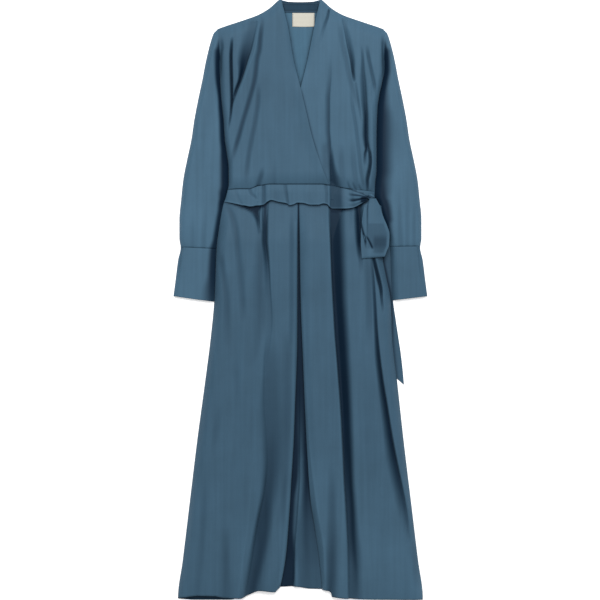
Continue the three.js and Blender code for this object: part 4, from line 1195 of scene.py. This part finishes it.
class DRESS_OT_fronts(bpy.types.Operator):
    """Makes the two fronts of the bodice, one lapped over the other"""

    bl_idname = "dress.fronts"
    bl_label = "Bodice fronts"

    SIDE_RUN = 14
    SHOULDER_RUN = 34
    SHOULDER_SHARE = 0.12  # of the loft, at the shoulder and at the waist
    WAIST_RUN = 30
    WAIST_SHARE = 0.4
    # the swell of the cloth: size of one, seed and height
    SWELL = ((30, 90), 3.1, 0.8)
    # the painted shadow in the waist seam, which is faint by the knot
    WAIST_SHADE = 0.3
    WAIST_SHADE_REACH = 3
    BY_KNOT = (94, 106)
    KNOT_SHARE = 0.9
    # the collars dip towards their edges, down to where the fronts cross
    COLLAR_DROP = 3
    COLLAR_RUN = 14
    COLLAR_ENDS = (210, 150)
    # the over front lies higher where it laps the other
    LAP_STEP = (WALL + LAYER_GAP) * 1.4
    LAP_FROM = (190, 230)
    LAP_WIDTH = (26, 0)
    # the under front sinks where it is covered, and has a painted shadow beside the edge over it
    SINK = 9
    SINK_RUN = (0, 18)
    EDGE_SHADE = 0.6
    EDGE_SHADE_REACH = 7
    EDGE_SHADE_FROM = (200, 230)
    EDGE_SHADE_LESS = (340, 400)
    EDGE_SHADE_LOSS = 0.85

    def execute(self, context):
        left = outline(
            LEFT_SIDE, OVER_EDGE, shoulder, WAIST,
            [shoulder(LEFT_ARM), 0, WAIST(LEFT_WAIST), WAIST(OVER_WAIST)],
        )
        right = outline(
            UNDER_EDGE, RIGHT_SIDE, shoulder, WAIST,
            [0, shoulder(RIGHT_ARM), WAIST(UNDER_WAIST), WAIST(RIGHT_WAIST)],
        )
        for name, shape, surface in (
            ("front_bodice_over", left, self.over),
            ("front_bodice_under", right, self.under),
        ):
            piece = cloth(f"{name}_cloth", cells(240), cells(450, 1.6), laid(shape, surface, ON_BACK))
            stands_for(piece, name)
        return {"FINISHED"}

    def form(self, across, down):
        """The rounded height of either front before its folds, and the painted shadow of the waist seam."""
        from_side = np.minimum(across - LEFT_SIDE(down), RIGHT_SIDE(down) - across)
        from_waist = WAIST(across) - down
        height = (
            BODICE_LOFT
            * lerp(rise(from_side, self.SIDE_RUN), 1, joined(down))
            * lerp(self.SHOULDER_SHARE, 1, rise(down - shoulder(across), self.SHOULDER_RUN))
            * lerp(self.WAIST_SHARE, 1, rise(from_waist, self.WAIST_RUN))
        )
        shade = self.WAIST_SHADE * (1 - rise(from_waist, self.WAIST_SHADE_REACH))
        shade = shade * (1 - self.KNOT_SHARE * ramp(across, *self.BY_KNOT))
        return ON_BACK + WALL + height + drape(across, down, *self.SWELL), shade

    def dip(self, from_edge, down):
        return self.COLLAR_DROP * ramp(down, *self.COLLAR_ENDS) * (1 - rise(from_edge, self.COLLAR_RUN))

    def over(self, across, down):
        from_edge = OVER_EDGE(down) - across
        lap = self.LAP_STEP * ramp(down, *self.LAP_FROM) * ramp(from_edge, *self.LAP_WIDTH)
        height, shade = self.form(across, down)
        cut, dark = folded(OVER_FOLDS, across, down)
        return height + lap - self.dip(from_edge, down) - cut, shaded(OVER_PAINTED_SHADE(down), dark) + shade

    def under(self, across, down):
        covered = OVER_EDGE(down) - across
        height, shade = self.form(across, down)
        cut, dark = folded(UNDER_FOLDS, across, down)
        beside = self.EDGE_SHADE * (1 - rise(-covered, self.EDGE_SHADE_REACH))
        beside = beside * ramp(down, *self.EDGE_SHADE_FROM)
        beside = beside * (1 - self.EDGE_SHADE_LOSS * ramp(down, *self.EDGE_SHADE_LESS))
        sink = self.SINK * ramp(covered, *self.SINK_RUN)
        height = height - self.dip(across - UNDER_EDGE(down), down) - sink - cut
        return height, shaded(UNDER_PAINTED_SHADE(down), dark) + shade + beside


class DRESS_OT_sleeves(bpy.types.Operator):
    """Makes the sleeves and the cuffs, each one flattened tube"""

    bl_idname = "dress.sleeves"
    bl_label = "Sleeves and cuffs"

    UPPER = 0.6  # share of the tube's grid that is its upper layer
    GRID_WIDTH = 110  # the width that the upper layer's columns are counted for
    INNER_RUN = 16
    OUTER_RUN = 14
    SHOULDER_RUN = 34
    SHOULDER_SHARE = 0.15
    CUFF_RUN = 70
    # the swell of the cloth: size of one, seed and height
    SWELL = ((26, 110), 5.7, 1.0)
    # the seam of the cuff, with painted shade along it, and how the sleeve goes in under it
    SEAM_DIP = 0.3
    SEAM_WIDTH = 1.3
    SEAM_SHADE = 0.08
    UNDER_CUFF = 0.9
    UNDER_CUFF_RUN = (-0.4, 0.2)
    # how far the upper layer goes in under the body's edge, and how far below it
    TUCK = 1.6
    TUCK_DROP = 1.05
    # the lower layer rises to the upper one at the outer edge
    LOWER_LIFT = 1.4
    LOWER_RISE = 0.03

    def execute(self, context):
        self.arm(
            "left", -1, left_sleeve_edge, mirrored(SLEEVE_OUTER), (LEFT_SLEEVE_FOLDS, LEFT_CUFF_FOLDS),
            seam_across=-197, cuff_end=709,
        )
        self.arm(
            "right", 1, right_sleeve_edge, SLEEVE_OUTER, (RIGHT_SLEEVE_FOLDS, RIGHT_CUFF_FOLDS),
            seam_across=212, cuff_end=706,
        )
        return {"FINISHED"}

    def arm(self, name, side, inner, outer, folds, seam_across, cuff_end):
        """The sleeve and the cuff of one side."""
        seam = CUFF_SEAM[name]
        seam_end = float(seam(seam_across))
        armhole = line_of(ARMHOLE[name])

        def by_seam(across, down):
            return np.exp(-(((down - seam(across)) / self.SEAM_WIDTH) ** 2))

        def sleeve_ends(across, down):
            to_seam = seam(across) - down
            under_cuff = self.UNDER_CUFF * ramp(-to_seam, *self.UNDER_CUFF_RUN)
            swell = lerp(CUFF_LOFT / SLEEVE_LOFT, 1, rise(to_seam, self.CUFF_RUN)) - under_cuff / SLEEVE_LOFT
            return lerp(self.SHOULDER_SHARE, 1, rise(down - shoulder(across), self.SHOULDER_RUN)) * swell

        sleeve = self.tube(
            f"sleeve_{name}", side, inner, outer, shoulder, lambda across: seam(across) + SEAM_TURN,
            (float(shoulder(LEFT_ARM)), seam_end + SEAM_TURN), cells(560, 2.2),
            self.surface(SLEEVE_LOFT, inner, outer, folds[0], sleeve_ends, by_seam, armhole, 0),
        )
        cuff = self.tube(
            f"cuff_{name}", side, inner, outer, seam, CUFF_HEM[name], (seam_end, cuff_end), cells(125, 1.2),
            self.surface(
                CUFF_LOFT, inner, outer, folds[1], lambda across, down: 1, by_seam, armhole, CUFF_PAINTED_SHADE[name]
            ),
        )

    def surface(self, loft, inner, outer, folds, ends, by_seam, armhole, tone):
        """The upper face of one tube, and its shade."""

        def surface(across, down):
            from_inner = np.abs(across) - np.abs(inner(down))
            from_outer = np.abs(outer(down)) - np.abs(across)
            inner_rise = lerp(rise(from_inner, self.INNER_RUN), 1, joined(down))
            form = loft * inner_rise * rise(from_outer, self.OUTER_RUN) * ends(across, down)
            cut, dark = folded(folds, across, down)
            seam = by_seam(across, down)
            off_edges = rise(from_outer, self.OUTER_RUN) * rise(from_inner, self.OUTER_RUN)
            uneven = drape(across, down, *self.SWELL) * off_edges
            # painted shade in the gap beside the body
            near, fade, gap_dark = armhole(down)
            beside_body = gap_dark * ramp(from_inner, near + fade, near)
            shade = shaded(shaded(tone, dark), beside_body) + self.SEAM_SHADE * seam
            height = ON_BACK + WALL + np.maximum(form + uneven - cut - self.SEAM_DIP * seam, 0)
            return height - self.TUCK_DROP * smoothstep(-from_inner / self.TUCK), shade

        return surface

    def tube(self, name, side, inner, outer, top, bottom, ends, rows, surface):
        """A tube between two lines down and two across. `ends` are where its inner side starts and ends."""
        start, end = ends
        outer_start, outer_end = float(top(outer(start))), float(bottom(outer(end)))

        def down_at(across, inner_down, outer_down, t):
            away = (across - inner(inner_down)) / (outer(outer_down) - inner(inner_down))
            top_miss = top(across) - lerp(start, outer_start, away)
            bottom_miss = bottom(across) - lerp(end, outer_end, away)
            return lerp(inner_down, outer_down, away) + (1 - t) ** 3 * top_miss + t**3 * bottom_miss

        def place(s, t):
            inner_down, outer_down = lerp(start, end, t), lerp(outer_start, outer_end, t)
            near, far = inner(inner_down), outer(outer_down)
            upper = s <= self.UPPER
            along = np.where(upper, s / self.UPPER, (1 - s) / (1 - self.UPPER))
            across = lerp(near - side * self.TUCK * upper, far, along)
            down = down_at(across, inner_down, outer_down, t)
            height, shade = surface(across, down)
            lower = self.LOWER_LIFT * np.clip((along - 1 + self.LOWER_RISE) / self.LOWER_RISE, 0, 1)
            height = np.where(upper, height, lower)
            shade = np.where(upper, np.clip(shade, 0, 1), 0)
            return across, down, height, shade

        columns = cells(self.GRID_WIDTH / self.UPPER)
        piece = cloth(f"{name}_cloth", columns, rows, place if side > 0 else flipped(place))
        return stands_for(piece, name)


def flipped(place):
    """The same piece with its grid run the other way across, so that its face stays outwards."""
    return lambda s, t: place(1 - s, t)


class SkirtPanel:
    """A front panel of the skirt. A pair of numbers is where a change begins and where it is done."""

    SIDE_RUN = 24
    HEM_RUN = 60
    HEM_SHARE = 0.7  # of the loft, at the hem
    # at the waist it lies flat, a little less so beside the knot
    WAIST_SHARE = (0.1, 0.3)
    BY_KNOT = (112, 126)
    WAIST_RISE = (472, 572)
    # along the slit it lies lower, and lowest of all on the right where the slit opens
    SLIT_RUN = 22
    SLIT_SHARE = (0.45, 0.04)
    SLIT_SINKS = (1120, 1240)
    # painted shade along the closed slit
    SLIT_SHADE = 0.3
    SLIT_SHADE_REACH = 3
    SLIT_SHADE_ENDS = (1180, 1270)
    # over the underlay it is a layer higher
    UNDERLAY_STEP = (UNDERLAY_REACH + 12, UNDERLAY_REACH + 4)
    # the swell of the cloth, which begins below the sash
    SWELL_SIZE = (24, 420)
    SWELL = 1.6
    SWELL_BEGINS = (480, 560)
    SWELL_SIDE_RUN = 12
    SASH_SHADE_END = 520

    def __init__(self, folds, tone, slit_edge, seed):
        self.folds, self.tone, self.slit_edge, self.seed = folds, tone, slit_edge, seed

    def form(self, across, down, from_side, from_slit):
        """The rounded height of the panel before its folds."""
        slit_share = lerp(*self.SLIT_SHARE, ramp(down, *self.SLIT_SINKS) * (across > 0))
        waist_share = lerp(*self.WAIST_SHARE, ramp(across, *self.BY_KNOT))
        return (
            SKIRT_LOFT
            * rise(from_side, self.SIDE_RUN)
            * lerp(waist_share, 1, ramp(down, *self.WAIST_RISE))
            * lerp(self.HEM_SHARE, 1, rise(HEM(across) - down, self.HEM_RUN))
            * lerp(slit_share, 1, rise(from_slit, self.SLIT_RUN))
        )

    def shadows(self, across, down, from_slit):
        """The painted shadow under the sash, and the painted shade in the closed slit."""
        dark, reach = UNDER_SASH(across)
        under_sash = dark * (1 - smoothstep((down - SASH_LOWER(across) - 1) / reach))
        under_sash = under_sash * ((down > SASH_TOP(across)) & (down < self.SASH_SHADE_END))
        in_slit = self.SLIT_SHADE * (1 - ramp(down, *self.SLIT_SHADE_ENDS) * (across > 0))
        return under_sash + in_slit * (1 - rise(from_slit, self.SLIT_SHADE_REACH))

    def surface(self, across, down):
        """The height of its upper face, and its shade."""
        from_side = np.minimum(across - LEFT_SIDE(down), RIGHT_SIDE(down) - across)
        from_slit = np.abs(across - self.slit_edge(down))
        cut, dark = folded(self.folds, across, down)
        uneven = drape(across, down, self.SWELL_SIZE, self.seed, self.SWELL)
        uneven = uneven * ramp(down, *self.SWELL_BEGINS) * rise(from_side, self.SWELL_SIDE_RUN)
        height = ON_BACK + WALL + self.form(across, down, from_side, from_slit) + uneven - cut
        lowest = ON_BACK + WALL + (ON_UNDERLAY - ON_BACK) * ramp(from_slit, *self.UNDERLAY_STEP)
        shade = shaded(self.tone(down), dark) + self.shadows(across, down, from_slit)
        return np.maximum(lowest, height), shade


skirt_left = SkirtPanel(LEFT_SKIRT_FOLDS, LEFT_SKIRT_PAINTED_SHADE, LEFT_SLIT, 1.3).surface
skirt_right = SkirtPanel(RIGHT_SKIRT_FOLDS, RIGHT_SKIRT_PAINTED_SHADE, RIGHT_SLIT, 8.2).surface


class DRESS_OT_skirt(bpy.types.Operator):
    """Makes the two front panels of the skirt and the underlay behind their slit"""

    bl_idname = "dress.skirt"
    bl_label = "Skirt fronts and underlay"

    # how far the slit is open on each side of its middle where the underlay's ridge and its painted light
    # begin
    RIDGE_FROM = (6, 18)
    LIGHT_FROM = (9, 21)
    LIGHT = 0.62

    def execute(self, context):
        def waist(across):
            return WAIST(across) - SEAM_TURN

        left = outline(
            LEFT_SIDE, LEFT_SLIT, waist, HEM,
            [waist(LEFT_WAIST), waist(LEFT_SLIT_TOP), HEM(-HALF_HEM), HEM(-HALF_SLIT)],
        )
        right = outline(
            RIGHT_SLIT, RIGHT_SIDE, waist, HEM,
            [waist(RIGHT_SLIT_TOP), waist(RIGHT_WAIST), HEM(HALF_SLIT), HEM(HALF_HEM)],
        )
        for name, shape, surface in (
            ("skirt_front_left", left, skirt_left),
            ("skirt_front_right", right, skirt_right),
        ):
            piece = cloth(f"{name}_cloth", cells(250), cells(960, 2.4), laid(shape, surface, ON_BACK))
            stands_for(piece, name)
        self.underlay()
        return {"FINISHED"}

    def underlay(self):
        top = float(WAIST(0)) + SEAM_GAP
        shape = outline(
            lambda down: LEFT_SLIT(down) - UNDERLAY_REACH,
            lambda down: RIGHT_SLIT(down) + UNDERLAY_REACH,
            lambda across: top + 0 * across,
            UNDERLAY_HEM,
            [top, top, UNDERLAY_HEM(-HALF_UNDERLAY), UNDERLAY_HEM(HALF_UNDERLAY)],
        )

        def surface(across, down):
            half = (RIGHT_SLIT(down) - LEFT_SLIT(down)) / 2
            ridge = -UNDERLAY_RIDGE.at(across, down)[0] * ramp(half, *self.RIDGE_FROM)
            light = self.LIGHT * ramp(half, *self.LIGHT_FROM)
            light = light * (1 - folded(UNDERLAY_FOLDS, across, down)[1])
            for from_panel, band in (
                (across - LEFT_SLIT(down), UNDERLAY_BAND["left"]),
                (RIGHT_SLIT(down) - across, UNDERLAY_BAND["right"]),
            ):
                near, fade, dark = band(down)
                light = light * (1 - dark * ramp(from_panel, near + fade, near))
            return ON_BACK + WALL + ridge, 1 - light

        place = laid(shape, surface, ON_BACK)
        piece = cloth("pleat_underlay_cloth", cells(140, 1.2), cells(960, 2.4), place)
        stands_for(piece, "pleat_underlay")


class DRESS_OT_sash(bpy.types.Operator):
    """Makes the sash: its band in the waist seam, its knot, its loop and its tail"""

    bl_idname = "dress.sash"
    bl_label = "Sash"

    # The band. A pair is where a change begins and where it is done.
    BAND_END = 155
    LOWER_LEFT = -176
    SEAM_HEIGHT = 9.5
    CLEARANCE = 1.0
    GATHERS = 3
    GATHER_DEPTH = 2.2
    GATHER_FROM = (108, 128)
    # painted shade in the gathers
    GATHER_SHADE = 0.5
    # the swell of the cloth: size of one, seed and height
    BAND_SWELL = ((14, 30), 2.4, 0.7)
    # the painted shade of a hollow beside the knot: across and down, its reach each way, and how dark it is
    HOLLOW = (150, 470.5)
    HOLLOW_REACH = (8.5, 6.5)
    HOLLOW_SHADE = 1.8
    # the seam's painted shadow is wider by the knot
    SEAM_REACH = (2.4, 5)
    SEAM_WIDENS = (118, 130)
    # the painted highlight along the free edge, which ends before the knot
    RIM_LIGHT = 0.16
    RIM_WIDTH = (-5, -2)
    RIM_ENDS = (130, 110)

    # The knot: across, down and height of its middle, and half its size each way.
    KNOT = (165, 464.5, 17)
    KNOT_HALF = (8.5, 7.5, 7)
    KNOT_SEGMENTS = (72, 44)
    KNOT_SIZE = 0.94
    # the pinches and the creases of its wraps: how many, how much they slant, how deep, and their painted
    # shade
    PINCHES = (3, 2.6, 0.14, 0.45)
    CREASES = (8, -4, 0.06, 0.25)
    # painted shade all over the knot, and more on its lower left side
    KNOT_PAINTED_SHADE = 0.25
    LOWER_LEFT_SHADE = 0.75

    # The loop.
    LOOP_TOP = 468
    LOOP_FOOT = 604
    LOOP_FOOT_SLANT = 5
    LOOP_UNDER = ON_BACK + WALL + SKIRT_LOFT + SEAM_GAP
    LOOP_HEIGHT = 30
    LOOP_BASE = LOOP_UNDER + WALL * 2 + 0.6
    LOOP_SWELL = LOOP_HEIGHT - LOOP_UNDER - 3
    LOOP_TURN = 0.04
    LOOP_EDGE = 0.06
    LOOP_SPAN = (0.12, 0.92)
    LOOP_PAINTED_SHADE = 0.16
    # painted shade on the inner face of its turn: where it is across, from its right edge and down, and how
    # dark
    FACE_ACROSS = (156, 160)
    FACE_FROM_RIGHT = (4, 9)
    FACE_STARTS = (525, 528)
    FACE_ENDS = (590, 574)
    FACE_SHADE = 0.2
    # the darkest painted shade on that face
    LOW_ACROSS = (166, 175)
    LOW_STARTS = (548, 566)
    LOW_ENDS = (600, 591)
    LOW_SHADE = 0.3

    # The tail.
    TAIL_TOP = 484
    TAIL_END = 904
    TAIL_SLANT = 22
    TAIL_SWELL = 0.5
    TAIL_SWELL_FROM = (620, 680)
    TAIL_SHADE_RUN = 8

    def execute(self, context):
        band = stands_for(cloth("sash_band_cloth", cells(335), cells(44, 0.6), self.band), "sash_band")
        self.knot()
        loop = stands_for(cloth("bow_loop_cloth", cells(64, 0.6), cells(270, 0.8), self.loop), "bow_loop")
        tail = stands_for(cloth("sash_tail_cloth", cells(30, 0.6), cells(420, 1.2), self.tail), "sash_tail")
        return {"FINISHED"}

    def band(self, s, t):
        left_down = lerp(SASH_TOP(LEFT_WAIST), SASH_LOWER(self.LOWER_LEFT), t)
        across = lerp(LEFT_SIDE(left_down) + SEAM_GAP, self.BAND_END, s)
        down = lerp(SASH_TOP(across) + SEAM_GAP, SASH_LOWER(across), t)
        gather = np.sin(2 * np.pi * self.GATHERS * t) * np.sin(np.pi * t)
        gather = self.GATHER_DEPTH * gather * ramp(across, *self.GATHER_FROM)
        cut, dark = folded(SASH_FOLDS, across, down)
        wave = SASH_WAVE(across)
        free = lerp(np.minimum(wave, self.SEAM_HEIGHT), wave, ramp(t, 0, 0.4)) + gather - cut
        free = free + drape(across, down, *self.BAND_SWELL)
        skirt = np.where(across < 0, skirt_left(across, down)[0], skirt_right(across, down)[0])
        height = np.maximum(free, skirt + self.CLEARANCE + WALL)

        aside = (across - self.HOLLOW[0]) / self.HOLLOW_REACH[0]
        below = (down - self.HOLLOW[1]) / self.HOLLOW_REACH[1]
        hollow = self.HOLLOW_SHADE * np.exp(-(aside**4) - below**4)
        reach = lerp(*self.SEAM_REACH, ramp(across, *self.SEAM_WIDENS))
        seam = SASH_SEAM_SHADE(across) * (1 - rise(down - SASH_TOP(across), reach))
        rim = ramp(down - SASH_LOWER(across), *self.RIM_WIDTH) * ramp(across, *self.RIM_ENDS)
        shade = shaded(SASH_PAINTED_SHADE, dark) + seam - self.RIM_LIGHT * rim + hollow
        shade = shade + self.GATHER_SHADE * np.clip(-gather, 0, 2)
        return across, down, height, np.clip(shade, 0, 1)

    def knot(self):
        """A ball whose poles lie across. The wraps run round it with deep pinches and fine creases, which
        carry painted shade.
        """
        bm = bmesh.new()
        columns, rows = self.KNOT_SEGMENTS
        bmesh.ops.create_uvsphere(bm, u_segments=columns, v_segments=rows, radius=1)
        layer = bm.verts.layers.float.new("shade")
        pinches, pinch_slant, pinch_depth, pinch_dark = self.PINCHES
        creases, crease_slant, crease_depth, crease_dark = self.CREASES
        for vertex in bm.verts:
            over, up, along = vertex.co
            turn = np.arctan2(up, over)
            pinch = np.cos(pinches * turn + pinch_slant * along)
            crease = np.cos(creases * turn + crease_slant * along)
            wrap = self.KNOT_SIZE - pinch_depth * pinch - crease_depth * crease
            lower_left = self.LOWER_LEFT_SHADE * smoothstep((-along - 0.9 * up + 0.1) / 0.7)
            shade = self.KNOT_PAINTED_SHADE + pinch_dark * pinch**3 + crease_dark * crease + lower_left
            vertex[layer] = np.clip(shade, 0, 1)
            point = placed(
                np.array([self.KNOT[0] + along * self.KNOT_HALF[0]]),
                np.array([self.KNOT[1] - up * self.KNOT_HALF[1] * wrap]),
                np.array([self.KNOT[2] + over * self.KNOT_HALF[2] * wrap]),
            )
            vertex.co = point[0]
        bmesh.ops.recalc_face_normals(bm, faces=bm.faces)
        piece = stands_for(finished("sash_knot_cloth", bm, [crepe("face")]), "sash_knot")

    def loop(self, s, t):
        """Down over the front, round the turn at its foot, and back up behind."""
        front = t <= 0.5
        along = np.where(front, t * 2, (1 - t) * 2)
        down = lerp(self.LOOP_TOP, self.LOOP_FOOT + self.LOOP_FOOT_SLANT * (1 - s), along)
        across = lerp(LOOP_LEFT(down), LOOP_RIGHT(down), s)
        crown = np.sin(np.pi * np.clip(s, self.LOOP_EDGE, 1 - self.LOOP_EDGE))
        swell = np.sin(np.pi * lerp(*self.LOOP_SPAN, along))
        cut, dark = folded(LOOP_FOLDS, across, down)
        upper = self.LOOP_BASE + self.LOOP_SWELL * crown * swell - cut
        middle = (upper + self.LOOP_UNDER) / 2
        turn = np.clip((along - 1 + self.LOOP_TURN) / self.LOOP_TURN, 0, 1) ** 2
        height = np.where(front, lerp(upper, middle, turn), lerp(self.LOOP_UNDER, middle, turn))
        shade = np.where(front, shaded(self.LOOP_PAINTED_SHADE, dark) + self.inside_face(across, down), 0)
        return across, down, height, np.clip(shade, 0, 1)

    def inside_face(self, across, down):
        """The painted shade of the turn's inner face, which is darkest low at its outer side."""
        from_right = LOOP_RIGHT(down) - across
        inner = ramp(across, *self.FACE_ACROSS) * ramp(from_right, *self.FACE_FROM_RIGHT)
        face = self.FACE_SHADE * ramp(down, *self.FACE_STARTS) * ramp(down, *self.FACE_ENDS)
        low = self.LOW_SHADE * ramp(down, *self.LOW_STARTS) * ramp(down, *self.LOW_ENDS)
        return inner * (face + low * ramp(across, *self.LOW_ACROSS))

    def tail(self, s, t):
        down = lerp(self.TAIL_TOP, self.TAIL_END, t) - self.TAIL_SLANT * (1 - s) * smoothstep(t)
        across = lerp(TAIL_INNER(down), TAIL_OUTER(down), s)
        swell = self.TAIL_SWELL * np.sin(np.pi * s) * ramp(down, *self.TAIL_SWELL_FROM)
        tone, beside = TAIL_SHADE(down)
        from_skirt = across - RIGHT_SIDE(down)
        shade = shaded(tone, beside * (1 - smoothstep(from_skirt / self.TAIL_SHADE_RUN)))
        return across, down, TAIL_LIFT(down) + WALL + swell, np.clip(shade, 0, 1)


# ---------------------------------------------------------------- the add-on

OPERATORS = (
    DRESS_OT_stage, DRESS_OT_back, DRESS_OT_fronts, DRESS_OT_sleeves, DRESS_OT_skirt, DRESS_OT_sash,
)


class DRESS_PT_panel(bpy.types.Panel):
    """Lists the dress's sizes, colours and operators"""

    bl_idname = "DRESS_PT_panel"
    bl_label = "Wrap dress"
    bl_space_type = "VIEW_3D"
    bl_region_type = "UI"
    bl_category = "Dress"

    def draw(self, context):
        for group in (context.scene.dress_sizes, context.scene.dress_colours):
            box = self.layout.box()
            for name in group.__annotations__:
                box.prop(group, name)
        for operator in OPERATORS:
            self.layout.operator(operator.bl_idname)


CLASSES = (DressSizes, DressColours, *OPERATORS, DRESS_PT_panel)


def register():
    for cls in CLASSES:
        bpy.utils.register_class(cls)
    bpy.types.Scene.dress_sizes = bpy.props.PointerProperty(type=DressSizes)
    bpy.types.Scene.dress_colours = bpy.props.PointerProperty(type=DressColours)


def unregister():
    del bpy.types.Scene.dress_colours
    del bpy.types.Scene.dress_sizes
    for cls in reversed(CLASSES):
        bpy.utils.unregister_class(cls)


def main():
    register()
    bpy.ops.dress.stage()
    bpy.ops.dress.back()
    bpy.ops.dress.fronts()
    bpy.ops.dress.sleeves()
    bpy.ops.dress.skirt()
    bpy.ops.dress.sash()


if __name__ == "__main__":
    main()
